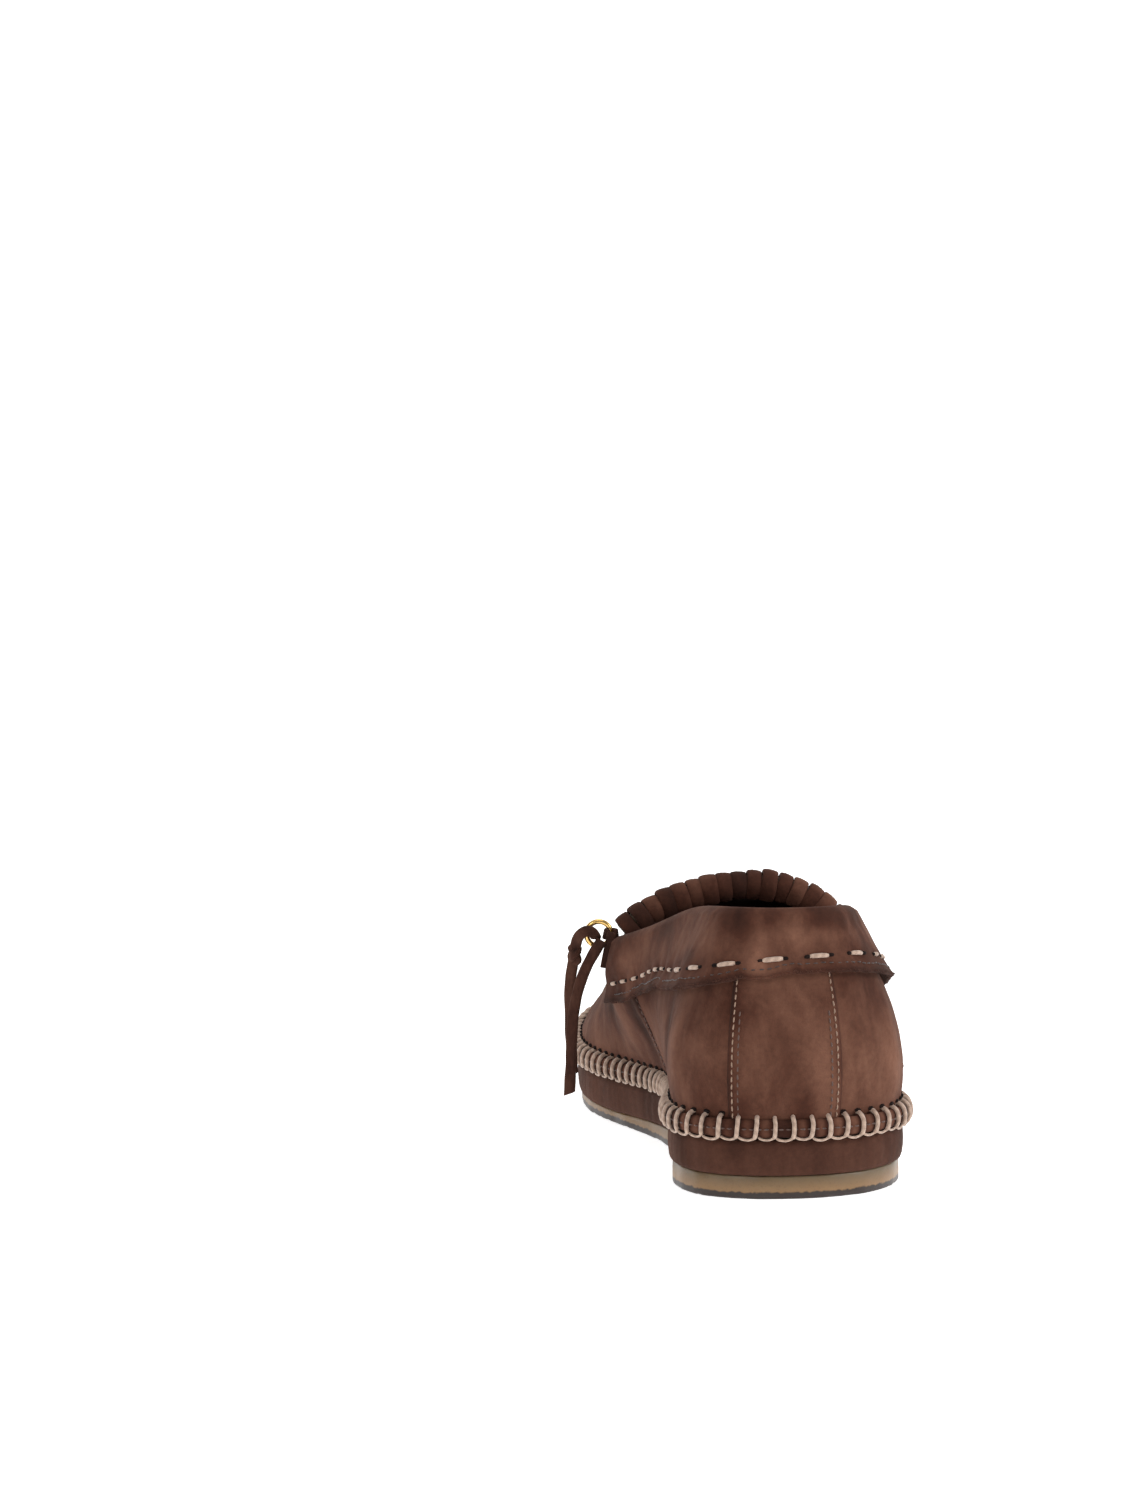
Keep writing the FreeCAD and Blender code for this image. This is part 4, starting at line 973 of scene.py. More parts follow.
def add_ridge():
    """The rolled strip, pinched by each stitch, with its thick and thin thread."""
    stations = np.linspace(0, STATIONS, len(WHIP_STATIONS) * 8, endpoint=False)
    centre = ridge_centre(stations)
    out = outward(stations)
    pinch = whip_phase(stations)
    run = stations * STATION_RUN
    uneven = 0.15 * wave_noise(run / 4.0, 0, 21)
    columns = []
    for angle in np.radians(np.arange(0, 360, 22.5) - 90):
        wide = RIDGE_HALF_WIDTH * (1.0 - 0.20 * pinch) + uneven
        tall = RIDGE_HALF_HEIGHT * (1.0 - 0.05 * pinch)
        columns.append(centre + out * (wide * math.cos(angle))[:, None]
                       + UP * (tall * math.sin(angle))[:, None])
    grid = np.stack(columns, 1)
    # Painted shade where each whipstitch pinches the strip, lighter on the bulges between
    # stitches.
    tone_and_painted_light = np.repeat((0.10 - 0.35 * pinch)[:, None], grid.shape[1], 1)
    ridge = grid_piece("welt_ridge", grid, closed_rows=True, closed_columns=True, tone_and_painted_light=tone_and_painted_light)
    finish_piece(ridge, SUEDE, nodes=("welt_strip",))

    path = smooth_path(((0.1, -2.0, 3.7), (0.0, -0.7, 3.85), (0.0, 0.8, 3.2), (-0.1, 1.8, 1.7),
                        (0.0, 2.05, 0.0), (0.1, 1.95, -1.5), (0.4, 1.55, -2.6),
                        (1.2, 1.2, -3.25), (2.4, 1.1, -3.55), (3.7, 1.1, -3.5),
                        (4.9, 1.05, -3.15), (5.8, 0.8, -2.6)), 32)
    share = np.linspace(0, 1, len(path))
    radii = 0.74 - 0.32 * smooth_step((share - 0.50) / 0.14)
    radii = radii * np.clip(np.minimum(share, 1 - share) / 0.02 + 0.3, 0, 1)
    stitch = thread_mesh("whipstitch", path, radii, 8)
    where = WHIP_STATIONS
    ahead = ridge_centre(where + 0.01) - ridge_centre(where - 0.01)
    whip = stitched("whipstitch", ridge_centre(where), -ahead, outward(where), stitch, THREAD,
                    Unevenness=0.05, Lean=0.07, Seed=4)
    finish_piece(whip, THREAD, nodes=("whipstitch_thread",))

    # Painted shade: a dark disc over each whipstitch hole in the upper.
    hole_path, hole_radii = lens(2.3, 1.3, 0.10, 7)
    hole_share = share_at(where, ridge_centre(where)[:, 2] + 4.6)
    holes = stitched("whipstitch_holes", *wall_guide(where, hole_share, 0.12),
                     thread_mesh("hole", hole_path, hole_radii, 6), HOLE_SHADE, Seed=9)
    finish_piece(holes, HOLE_SHADE)

    middle = even_places(ridge_centre, 0, STATIONS, 2.3)
    point = ridge_centre(middle) + outward(middle) * (RIDGE_HALF_WIDTH + 0.02)
    ahead = ridge_centre(middle + 0.01) - ridge_centre(middle - 0.01)
    row_path, row_radii = lens(1.7, 0.5, 0.15, 5)
    row = stitched("ridge_machine_row", point, -ahead, outward(middle),
                   thread_mesh("machine_stitch", row_path, row_radii, 5), TONAL_THREAD, Seed=2)
    finish_piece(row, TONAL_THREAD)


def wall_guide(stations, share, lift):
    """Guide points on the upper's face: place, way along (reversed), way out."""
    stations = np.asarray(stations, float)
    share = np.broadcast_to(share, stations.shape)
    point, normal, _ = wall_frame(stations, share)
    ahead = wall(stations + 0.01, share) - wall(stations - 0.01, share)
    return point + normal * lift, -ahead, normal


# ---------------------------------------------------------------- upper

def lateral_seam(rise):
    """Station of the slanted seam between quarter and vamp."""
    return SEAM_FOOT + (SEAM_TOP - SEAM_FOOT) * rise


def steady(value):
    """A bound that is the same everywhere."""
    return lambda at: np.zeros_like(np.asarray(at, float)) + value


STATION_LENGTH = 27.0


def panel_grid(start, end, low, high, depth, count_along, count_up, edge_dip=0.0,
               edge_reach=1.1, top_pucker=0.0, seed=1, rough=0.22):
    """Points of a panel of the upper, with soft edges, puckers and slight unevenness."""
    rise = np.linspace(0, 1, count_up)[None, :]
    u = np.linspace(0, 1, count_along)[:, None]
    station = start(rise) + (end(rise) - start(rise)) * u
    share = low(station) + (high(station) - low(station)) * rise
    from_edge = np.minimum(u, 1 - u) * (end(rise) - start(rise)) * STATION_LENGTH
    away = depth - edge_dip * np.exp(-(from_edge / edge_reach) ** 2)
    run = station * STATION_LENGTH
    away = away + rough * wave_noise(run / 17.0, share * 4.0, seed)
    away = away + rough * 0.4 * wave_noise(run / 5.0, share * 13.0, seed + 3)
    if top_pucker:
        gather = np.cos(2 * np.pi * np.interp(station, APRON_STATIONS,
                                              np.arange(len(APRON_STATIONS))))
        reach = smooth_step((station - 5.0) / 0.5) * smooth_step((17.0 - station) / 0.5)
        away = away + top_pucker * gather * reach * smooth_step((share - 0.70) / 0.30)
    point, normal, _ = wall_frame(station, share)
    # Painted highlight on raised folds and painted shade in their dents, a lighter band low on the
    # wall, and painted shade along the dipped seam edges.
    tone_and_painted_light = 0.16 * fold_height(station, share) + 0.10 * bell((share - 0.30) / 0.22)
    tone_and_painted_light = tone_and_painted_light - 0.30 * np.exp(-(from_edge / 1.6) ** 2) * (edge_dip > 0)
    return point + normal * away[..., None], tone_and_painted_light


def leather_panel(name, nodes, *bounds, material=None, slot="suede", thickness=LEATHER, **shape):
    """A panel of the upper as a sheet with its own thickness."""
    grid, tone_and_painted_light = panel_grid(*bounds, **shape)
    piece = grid_piece(name, grid, tone_and_painted_light=tone_and_painted_light)
    thicken(piece, thickness)
    return finish_piece(piece, material or SUEDE, nodes=nodes)


SEAM_GAP = 0.012
HEEL_SEAM = 0.012
PANEL_TOP = 0.985
APRON_STATIONS = even_places(upper_edge, 5.3, 16.7, 5.9)
STRIP_LIFT, STRIP_THICK = 0.12, 1.2
LINING_DEPTH = -LEATHER - 0.95 - 0.3
CUFF_START, CUFF_END = -4.82, 4.62
FOLD_CENTRE = -1.2
FOLD_INNER = 1.5


def strip_edge(rise):
    """Half width of the heel strip, in stations."""
    return 0.66 + 0.06 * rise


def add_upper():
    """Quarters, vamp, heel strip and linings."""
    leather_panel("lateral_quarter_suede", ("lateral_quarter",), steady(HEEL_SEAM),
                  lambda v: lateral_seam(v) - SEAM_GAP, steady(0.0), steady(PANEL_TOP), 0.0,
                  170, 56, edge_dip=0.7, seed=3)
    leather_panel("medial_quarter_suede", ("medial_quarter",),
                  lambda v: SEAM_GAP - lateral_seam(v), steady(-HEEL_SEAM), steady(0.0),
                  steady(PANEL_TOP), 0.0, 170, 56, edge_dip=0.7, seed=8)
    leather_panel("vamp_suede", ("vamp",), lateral_seam,
                  lambda v: STATIONS - lateral_seam(v), steady(0.0), steady(PANEL_TOP), 0.0,
                  460, 44, edge_dip=0.55, top_pucker=0.35, seed=5)
    leather_panel("heel_strip_suede", ("heel_strip",), lambda v: -strip_edge(v), strip_edge,
                  steady(0.03), steady(0.80), STRIP_LIFT + STRIP_THICK, 60, 60,
                  edge_dip=0.9, edge_reach=0.9, seed=6, rough=0.10, thickness=STRIP_THICK)

    leather_panel("quarter_lining_leather", ("quarter_lining",), steady(-4.86), steady(4.66),
                  steady(0.02), lambda s: below_tuck(s), LINING_DEPTH, 120, 24, seed=11,
                  rough=0.15, material=LINING, slot="lining_leather", thickness=0.8)
    leather_panel("vamp_lining_leather", ("vamp_lining",), steady(4.70), steady(17.10),
                  steady(0.02), steady(0.95), LINING_DEPTH, 160, 20, seed=12,
                  rough=0.1, material=LINING, slot="lining_leather", thickness=0.8)


TUCK = 9.0
TUCK_CLEARANCE = 1.6
TUCK_STATIONS = np.linspace(-4.9, 4.9, 49)
TUCK_SHARES = share_at(TUCK_STATIONS,
                       wall(TUCK_STATIONS, np.full(49, PANEL_TOP))[:, 2] - TUCK - TUCK_CLEARANCE)


def below_tuck(stations):
    """Share of the wall just under the turned-in part of the collar."""
    return np.interp(stations, TUCK_STATIONS, TUCK_SHARES)


def side_drop(stations):
    """How much lower the raw edge hangs along the two sides of the heel."""
    lateral = 3.4 * smooth_step((stations - 0.8) / 1.6)
    return lateral + 6.5 * bell((stations + 2.1) / 1.45)


def cuff_drop(stations):
    """How much lower than its plain line the raw edge hangs, in mm."""
    wavy = 0.5 * wave_noise(stations * 2.2, 0, 31) + 0.3 * wave_noise(stations * 6.0, 0, 33)
    return wavy + side_drop(stations) - 1.4 * bell((stations - 0.1) / 0.8)


CUFF_COLUMNS = 26
FRONT_LEAN = 0.30


def front_lean(stations, step):
    """How far, in stations, the collar's medial front end slants ahead as it goes down."""
    return FRONT_LEAN * smooth_step((-3.6 - np.asarray(stations)) / 1.2) * (1.0 - step) ** 1.5


def cuff_points(stations, thickness):
    """The turned collar's face: raw edge, up the outside, over, and down inside."""
    top = upper_edge(stations)[:, 2]
    low = share_at(stations, top - CUFF_HEIGHT + 3.0 - cuff_drop(stations))
    reach = FOLD_INNER + thickness
    points = []
    for step in np.linspace(0, 1, CUFF_COLUMNS):
        share = low + (PANEL_TOP - low) * step
        flare = STRIP_LIFT + STRIP_THICK + 0.5 - 1.0 * step
        flare = max(flare, FOLD_CENTRE + FOLD_INNER) + 0.9 * math.exp(-step * 9.0)
        uneven = 0.35 * wave_noise(stations * 1.7, step * 2.0, 41)
        uneven = uneven * (1 - step) + 0.12 * wave_noise(stations * 6.0, step * 5.0, 44)
        cinch = 0.55 * run_phase(stations) * bell((step - 0.24) / 0.16)
        point, normal, _ = wall_frame(stations - front_lean(stations, step), share)
        away = flare + thickness + uneven - cinch
        points.append(point + normal * away[:, None])
    rim = np.full(stations.shape, PANEL_TOP)
    point, normal, upward = wall_frame(stations, rim)
    centre = point + normal * FOLD_CENTRE
    for angle in (24, 48, 72, 96, 120, 144, 168):
        turn = math.radians(angle)
        points.append(centre + normal * (reach * math.cos(turn))
                      + upward * (reach * math.sin(turn)))
    for drop in np.linspace(0.1, 1, 5):
        share = share_at(stations, point[:, 2] - TUCK * drop)
        inner, facing, _ = wall_frame(stations, np.minimum(share, PANEL_TOP))
        points.append(inner + facing * (FOLD_CENTRE - reach))
    return np.stack(points, 1)


CUFF_FACE = STRIP_LIFT + STRIP_THICK + 0.2 + LEATHER
RUN_ABOVE_EDGE = 6.0
RUN_PITCH = 15.5
RUN_STEP = 0.26


def run_line(stations):
    """Line of the thick running stitch on the collar."""
    stations = np.asarray(stations, float)
    height = (upper_edge(stations)[..., 2] + 3.0 - CUFF_HEIGHT - side_drop(stations)
              + RUN_ABOVE_EDGE)
    share = share_at(stations, height)
    point, normal, _ = wall_frame(stations - front_lean(stations, RUN_STEP), share)
    return point + normal * (CUFF_FACE + 0.2)


def run_table():
    """The running stitch line, worked out once."""
    stations = np.linspace(CUFF_START, CUFF_END, 120)
    return stations, run_line(stations)


RUN_TABLE = run_table()


def run_point(stations):
    """A point of the running stitch line."""
    stations = np.asarray(stations, float)
    return np.stack([np.interp(stations, RUN_TABLE[0], RUN_TABLE[1][:, k]) for k in range(3)], -1)


SIDE_PITCH = 8.8
MEDIAL_START, LATERAL_START = -2.2, 1.25


def past_back(stations):
    """How far, in stations, a place lies beyond the widely stitched back."""
    return np.where(stations < 0, MEDIAL_START - stations, stations - LATERAL_START)


def run_places():
    """Stations of the running stitches: wide apart at the back, closer at the sides."""
    places = np.linspace(-4.68, 4.48, 1600)
    steps = np.linalg.norm(np.diff(run_point(places), axis=0), axis=1)
    share = smooth_step(past_back(places[1:]) / 0.8)
    pitch = RUN_PITCH + (SIDE_PITCH - RUN_PITCH) * share
    passed = np.concatenate([[0], np.cumsum(steps / pitch)])
    count = round(passed[-1])
    return np.interp(passed[-1] * (np.arange(count) + 0.5) / count, passed, places)


RUN_STATIONS = run_places()


def run_phase(stations):
    """1 at the middle of a running stitch, 0 between two of them."""
    place = np.interp(stations, RUN_STATIONS, np.arange(len(RUN_STATIONS)))
    return 0.5 + 0.5 * np.cos(2 * np.pi * place)


def add_cuff():
    """The turned collar and its running stitch."""
    stations = np.linspace(CUFF_START, CUFF_END, 300)
    grid = cuff_points(stations, LEATHER)
    rise = np.linspace(0, 1, grid.shape[1])[None, :]
    along = stations[:, None]
    # Random tone, a lighter band part way up the outside, and darker along the raw lower edge.
    tone_and_painted_light = 0.10 * wave_noise(along * 1.3, rise * 2.5, 51) + 0.12 * bell((rise - 0.42) / 0.12)
    tone_and_painted_light = tone_and_painted_light - 0.25 * bell(rise / 0.05)
    cuff = grid_piece("collar_cuff_suede", grid, tone_and_painted_light=tone_and_painted_light)
    thicken(cuff, LEATHER, 0.5)
    finish_piece(cuff, SUEDE, nodes=("collar_cuff",))

    where = RUN_STATIONS
    point = run_point(where)
    _, normal, _ = wall_frame(where, share_at(where, point[:, 2]))
    ahead = run_point(where + 0.02) - run_point(where - 0.02)
    back = past_back(where) < 0.1
    groups = []
    for label, chosen, length, width, seed in (("back", back, 7.4, 1.6, 12),
                                               ("side", ~back, 4.0, 1.3, 13)):
        path, radii = lens(length, width, 0.6, 13)
        groups.append(stitched(
            "collar_stitches_" + label, (point - normal * 0.45)[chosen], -ahead[chosen],
            normal[chosen], thread_mesh("running_stitch_" + label, path, radii, 9), THREAD,
            Unevenness=0.10, Lean=0.05, Seed=seed))
    run = join("collar_stitches", groups)
    finish_piece(run, THREAD, nodes=("collar_stitches",))

    random = np.random.default_rng(5)
    at = np.sort(random.uniform(-4.6, 4.6, 1500))
    row = random.integers(0, 2, at.size)
    lip = np.stack([np.interp(at, stations, grid[:, 0, k]) for k in range(3)], -1)
    above = np.stack([np.interp(at, stations, grid[:, 1, k]) for k in range(3)], -1)
    lip_out = wall_frame(at, np.full(at.shape, 0.7))[1]
    lip = lip + (above - lip) * (row * 0.5)[:, None] - lip_out * (row == 0)[:, None] * 0.8
    tuft_path = np.array([(0.0, 0.0, 0.0), (0.25, 0.3, 0.1), (0.55, 0.45, 0.35)])
    tuft = thread_mesh("tuft", tuft_path, (0.07, 0.05, 0.02), 3)
    lean = random.normal(0, 1, lip.shape)
    fuzz = stitched("collar_edge_fuzz", lip, lean, lip_out * 0.5 - UP * 0.8 + lean * 0.4,
                    tuft, RAW_SUEDE, Unevenness=0.5, Lean=1.2, Seed=8)
    finish_piece(fuzz, RAW_SUEDE)

    # Painted shade: dark discs at both ends of each collar stitch.
    hole_path, hole_radii = lens(1.9, 1.2, 0.1, 7)
    reach = np.where(back, 4.1, 2.4)[:, None]
    ends = np.concatenate([point + unit(ahead) * reach, point - unit(ahead) * reach])
    holes = stitched("collar_stitch_holes", ends - np.tile(normal, (2, 1)) * 0.42,
                     np.tile(-ahead, (2, 1)), np.tile(normal, (2, 1)),
                     thread_mesh("collar_hole", hole_path, hole_radii, 6), HOLE_SHADE, Seed=3)
    finish_piece(holes, HOLE_SHADE)


# ---------------------------------------------------------------- apron and throat

def add_apron():
    """The apron, gathered along its seam, its lining and its thread."""
    stations = np.linspace(5.29, 10.98, 190)
    lateral, medial = upper_edge(stations), upper_edge(STATIONS - stations)
    across = np.linspace(0, 1, 61)
    share = 0.5 - 0.5 * np.cos(np.pi * across)

    def cloth(inset, depth, gather):
        """Points of one sheet of the apron."""
        span = medial - lateral
        reach = np.linalg.norm(span[:, :2], axis=1)
        shrink = np.clip(inset / np.maximum(reach, 1e-6), 0, 0.48)[:, None]
        t = shrink + (1 - 2 * shrink) * share[None, :]
        plan = lateral[:, None, :] + span[:, None, :] * t[..., None]
        x, y = plan[..., 0], plan[..., 1]
        z = crown_height(x, y) + depth
        if gather:
            edge = np.minimum(t, 1 - t) * reach[:, None]
            for sign, at in ((1, stations), (-1, STATIONS - stations)):
                phase = np.cos(2 * np.pi * np.interp(at, APRON_STATIONS,
                                                     np.arange(len(APRON_STATIONS))))
                side = (t < 0.5) if sign > 0 else (t >= 0.5)
                z = z + np.where(side, phase[:, None] * gather * np.exp(-(edge / 6.0) ** 2), 0)
            z = z + 0.9 * np.exp(-((edge - 3.0) / 2.4) ** 2) - 0.4 * np.exp(-(edge / 1.2) ** 2)
            z = z + 0.3 * wave_noise(x / 16.0, y / 16.0, 61)
        return np.stack([x, y, z], -1)

    grid = cloth(0.5, 0.4, 0.28)
    # Darker along both seam edges: painted shade in the gathered seam.
    edge_share = np.minimum(share, 1 - share)[None, :] + np.zeros((len(stations), 1))
    apron = grid_piece("apron_suede", grid, tone_and_painted_light=0.10 - 0.2 * bell(edge_share / 0.05))
    thicken(apron, LEATHER)
    finish_piece(apron, SUEDE, nodes=("apron",))
    lining = grid_piece("apron_lining_leather", cloth(5.0, -1.7, 0.0))
    thicken(lining, 0.8)
    finish_piece(lining, LINING, nodes=("apron_lining",))

    where = APRON_STATIONS
    point = upper_edge(where)
    ahead = unit(upper_edge(where + 0.02) - upper_edge(where - 0.02))
    sideways = unit(np.cross(ahead, UP))
    top = unit(np.cross(sideways, ahead))
    path = smooth_path(((0.0, -0.2, 2.6), (0.0, 1.0, 2.2), (0.1, 1.7, 0.9), (0.2, 1.8, -0.6),
                        (0.3, 1.1, -2.0), (0.3, -0.3, -2.6)), 18)
    from_end = np.minimum(np.linspace(0, 1, 18), np.linspace(1, 0, 18))
    radii = 0.62 * np.clip(from_end / 0.05 + 0.3, 0, 1)
    loops = stitched("apron_thread", point + top * 0.75, -ahead, top,
                     thread_mesh("apron_stitch", path, radii, 8), THREAD,
                     Unevenness=0.08, Lean=0.12, Seed=21)
    finish_piece(loops, THREAD, nodes=("apron_thread",))


ROLL_CORE_RADIUS = 3.3
ROLL_RADIUS = 5.2
WRAP_WIDTH = 4.9
ROLL_END = len(ROLL_PATH) - 1


def roll_point(places):
    """Centre line of the throat roll."""
    return curve_at(ROLL, places, False)


def roll_frame(places):
    """Centre, direction, and two cross directions of the roll."""
    ahead = unit(roll_point(np.asarray(places) + 0.02) - roll_point(np.asarray(places) - 0.02))
    side = unit(np.cross(ahead, (0.0, 1.0, 0.0)))
    return roll_point(places), ahead, side, np.cross(ahead, side)


def add_roll():
    """Padding and the flat strip wound round it, turn by turn."""
    places = np.linspace(0.12, ROLL_END - 0.12, 40)
    centre, _, side, back = roll_frame(places)
    turn = np.linspace(0, 2 * np.pi, 24, endpoint=False)
    ring = (np.cos(turn)[None, :, None] * side[:, None, :]
            + np.sin(turn)[None, :, None] * back[:, None, :])
    core = grid_piece("throat_roll_padding", centre[:, None, :] + ring * ROLL_CORE_RADIUS,
                      closed_columns=True, caps=True)
    flip_if_inward(core, centre)
    finish_piece(core, FOAM, nodes=("throat_roll_core",))

    strips = []
    random = np.random.default_rng(17)
    turns = even_places(roll_point, 0.12, ROLL_END - 0.12, WRAP_WIDTH + 0.35)
    for count, place in enumerate(turns):
        middle, ahead, side, back = (v[0] for v in roll_frame(np.array([place])))
        lean = math.radians((5.5 if count % 2 else 3.5) + random.uniform(-1.5, 1.5))
        tilted = unit(ahead + np.cross((0.0, 1.0, 0.0), ahead) * math.tan(lean))
        side = unit(np.cross(tilted, (0.0, 1.0, 0.0)))
        back = np.cross(tilted, side)
        half = (WRAP_WIDTH + random.uniform(0.0, 0.9)) / 2
        outer = ROLL_RADIUS + random.uniform(-0.45, 0.25)
        shape = ((-half, outer - 1.0), (-half, outer - 0.35), (-half + 0.45, outer - 0.02),
                 (-half * 0.3, outer + 0.18), (half * 0.35, outer + 0.10),
                 (half - 0.4, outer - 0.12), (half, outer - 0.5), (half, outer - 1.0))
        around_roll = np.linspace(0, 2 * np.pi, 40, endpoint=False)
        squeeze = 1 + 0.03 * np.cos(2 * around_roll + random.uniform(0, 3))
        columns = []
        for along, radius in shape:
            radial = np.cos(around_roll)[:, None] * side + np.sin(around_roll)[:, None] * back
            columns.append(middle + tilted * along + radial * (radius * squeeze)[:, None])
        grid = np.stack(columns, 1)
        strip = grid_piece(f"turn_{count}", grid, closed_rows=True, closed_columns=True,
                           tone_and_painted_light=np.full(grid.shape[:2], random.uniform(-0.12, 0.16)))
        strips.append(strip)
    wrap = join("throat_wrap_strip", strips)
    flip_if_inward(wrap, roll_point(np.linspace(0, ROLL_END, 200)))
    finish_piece(wrap, SUEDE, nodes=("throat_wrap",))


def flip_if_inward(piece, line):
    """Turns a tube's faces round if they look at its own centre line."""
    line = to_frame(line)
    score = 0.0
    for face in list(piece.data.polygons)[::7]:
        centre = np.array(face.center)
        nearest = line[np.argmin(np.linalg.norm(line - centre, axis=1))]
        score += float(np.dot(centre - nearest, face.normal)) * face.area
    if score < 0:
        piece.data.flip_normals()


# ---------------------------------------------------------------- rings, tabs and ties

HINGES = {"medial": (-45.0, 114.0, 71.5), "lateral": (42.3, 113.5, 58.5)}
TAB_FOOT = {"medial": (-47.4, 112.0), "lateral": (41.3, 109.9)}
RING_AHEAD = {"medial": (-1.0, 0.0, 0.0), "lateral": (0.0, 1.0, 0.0)}
RING_RADIUS, RING_WIRE = 4.2, 0.9
THONG_WIDTHS = {"medial": 3.8, "lateral": 3.0}
GATHERED = {"medial": 0.0, "lateral": 0.45}
THONG_THICK = 1.9


def spline_points(name, points, count):
    """Points of one smooth NURBS line through a route's control points."""
    curve = bpy.data.curves.new(name, "CURVE")
    curve.dimensions = "3D"
    line = curve.splines.new("NURBS")
    line.points.add(len(points) - 1)
    for knot, place in zip(line.points, to_frame(points)):
        knot.co = (*place, 1.0)
    line.order_u = 3
    line.use_endpoint_u = True
    line.resolution_u = 16
    carrier = bpy.data.objects.new(name, curve)
    bpy.context.scene.collection.objects.link(carrier)
    mesh = bpy.data.meshes.new_from_object(carrier.evaluated_get(
        bpy.context.evaluated_depsgraph_get()))
    places = np.array([vertex.co[:] for vertex in mesh.vertices]) / MM - (0.0, HEEL_Y, 0.0)
    bpy.data.objects.remove(carrier)
    bpy.data.meshes.remove(mesh)
    travelled = np.concatenate([[0], np.cumsum(np.linalg.norm(np.diff(places, axis=0), axis=1))])
    wanted = np.linspace(0, travelled[-1], count)
    return np.stack([np.interp(wanted, travelled, places[:, k]) for k in range(3)], -1)


def flat_thong(name, points, facing, seed, width, thick=THONG_THICK, frayed=True,
               closed=False, gathered=0.0):
    """A flat suede lace along points; its broad face looks along facing."""
    points = np.asarray(points, float)
    count = len(points)
    ahead = unit(np.gradient(points, axis=0))
    if closed:
        ahead = unit(np.roll(points, -1, 0) - np.roll(points, 1, 0))
    facing = np.broadcast_to(np.asarray(facing, float), points.shape)
    out = unit(facing - ahead * np.sum(facing * ahead, -1, keepdims=True))
    across = np.cross(ahead, out)
    run = np.linspace(0, 1, count)
    length = np.sum(np.linalg.norm(np.diff(points, axis=0), axis=1))
    wide = width / 2 * (1 + 0.06 * wave_noise(run * length / 6.0, 0, seed))
    wide = wide * (1 - gathered * bell(run * length / 5.0))
    deep = thick / 2 * (1 + 0.10 * wave_noise(run * length / 5.0, 0, seed + 5))
    twist = 0.22 * wave_noise(run * length / 14.0, 0, seed + 9)
    corners = ((1.0, 0.0), (0.97, 0.55), (0.80, 0.92), (0.35, 1.0), (0.0, 0.96), (-0.35, 1.0),
               (-0.80, 0.92), (-0.97, 0.55), (-1.0, 0.0), (-0.97, -0.55), (-0.80, -0.92),
               (-0.35, -1.0), (0.0, -0.96), (0.35, -1.0), (0.80, -0.92), (0.97, -0.55))
    columns = []
    for a, b in corners:
        side = across * (wide * a)[:, None] + out * (deep * b)[:, None]
        turned = side + np.cross(ahead, side) * twist[:, None]
        columns.append(points + turned)
    grid = np.stack(columns, 1)
    if frayed and not closed:
        slant = np.array([a for a, _ in corners]) * 0.9
        ragged = wave_noise(np.arange(len(corners)) * 1.7, 0, seed + 2) * 0.4
        grid[-1] += ahead[-1] * (slant + ragged)[:, None]
        grid[-2] += ahead[-1] * (slant + ragged)[:, None] * 0.45
    # Lighter along the lace's two narrow edges.
    tone_and_painted_light = np.tile(np.array([0.10 if abs(a) > 0.9 else -0.02 for a, _ in corners]), (count, 1))
    piece = grid_piece(name, grid[:, ::-1], closed_rows=closed, closed_columns=True,
                       caps=not closed, tone_and_painted_light=tone_and_painted_light[:, ::-1])
    flip_if_inward(piece, points)
    return piece


def knot_path(centre, side):
    """A small overhand knot: a trefoil drawn up tight, a little flattened."""
    turn = np.linspace(0, 2 * np.pi, 73)[:-1]
    x = np.sin(turn) + 2 * np.sin(2 * turn)
    z = np.cos(turn) - 2 * np.cos(2 * turn)
    y = -np.sin(3 * turn)
    shape = np.stack([side * y * 1.15, x * 0.88, z * 1.0], -1)
    tilt = math.radians(24)
    turned = shape.copy()
    turned[:, 1] = shape[:, 1] * math.cos(tilt) - shape[:, 2] * math.sin(tilt)
    turned[:, 2] = shape[:, 1] * math.sin(tilt) + shape[:, 2] * math.cos(tilt)
    return centre + turned


def add_ring(side_name):
    """Polished ring, and the leather tab folded round its wire."""
    hinge = np.array(HINGES[side_name])
    ahead = np.array(RING_AHEAD[side_name])
    across = np.cross(ahead, UP)
    centre = hinge + ahead * RING_RADIUS
    turn = np.linspace(0, 2 * np.pi, 72, endpoint=False)[:, None, None]
    tube = np.linspace(0, 2 * np.pi, 20, endpoint=False)[None, :, None]
    radial = np.cos(turn) * ahead + np.sin(turn) * UP
    grid = (centre + radial * (RING_RADIUS + RING_WIRE * np.cos(tube))
            + across * (RING_WIRE * np.sin(tube)))
    ring = grid_piece(side_name + "_gold_ring", grid, closed_rows=True, closed_columns=True)
    flip_if_inward(ring, (centre + radial * RING_RADIUS)[:, 0])
    finish_piece(ring, GOLD, body=side_name + "_ring_body",
                 nodes=(side_name + "_ring",))

    x, y, z = hinge
    foot = TAB_FOOT[side_name]
    loop_turn = np.radians(np.linspace(-72, 252, 26))
    round_wire = np.stack([np.cos(loop_turn), np.sin(loop_turn), loop_turn * 0], -1)
    tail = np.array([(x, y - 3.0, z + 0.8), ((x + foot[0]) / 2, (y - 3.0 + foot[1]) / 2, z - 5.0),
                     (foot[0], foot[1], z - 11.5)])
    loop_piece = flat_thong(side_name + "_tab_loop", hinge + round_wire * 2.2, round_wire, 71,
                            width=3.6, thick=1.0, frayed=False)
    tail_piece = flat_thong(side_name + "_tab_tail", smooth_path(tail, 14), (0.0, -1.0, 0.0),
                            73, width=3.0, thick=1.4, frayed=False)
    tab = join(side_name + "_ring_tab_suede", [loop_piece, tail_piece])
    finish_piece(tab, THONG_SUEDE, nodes=(side_name + "_ring_tab",))


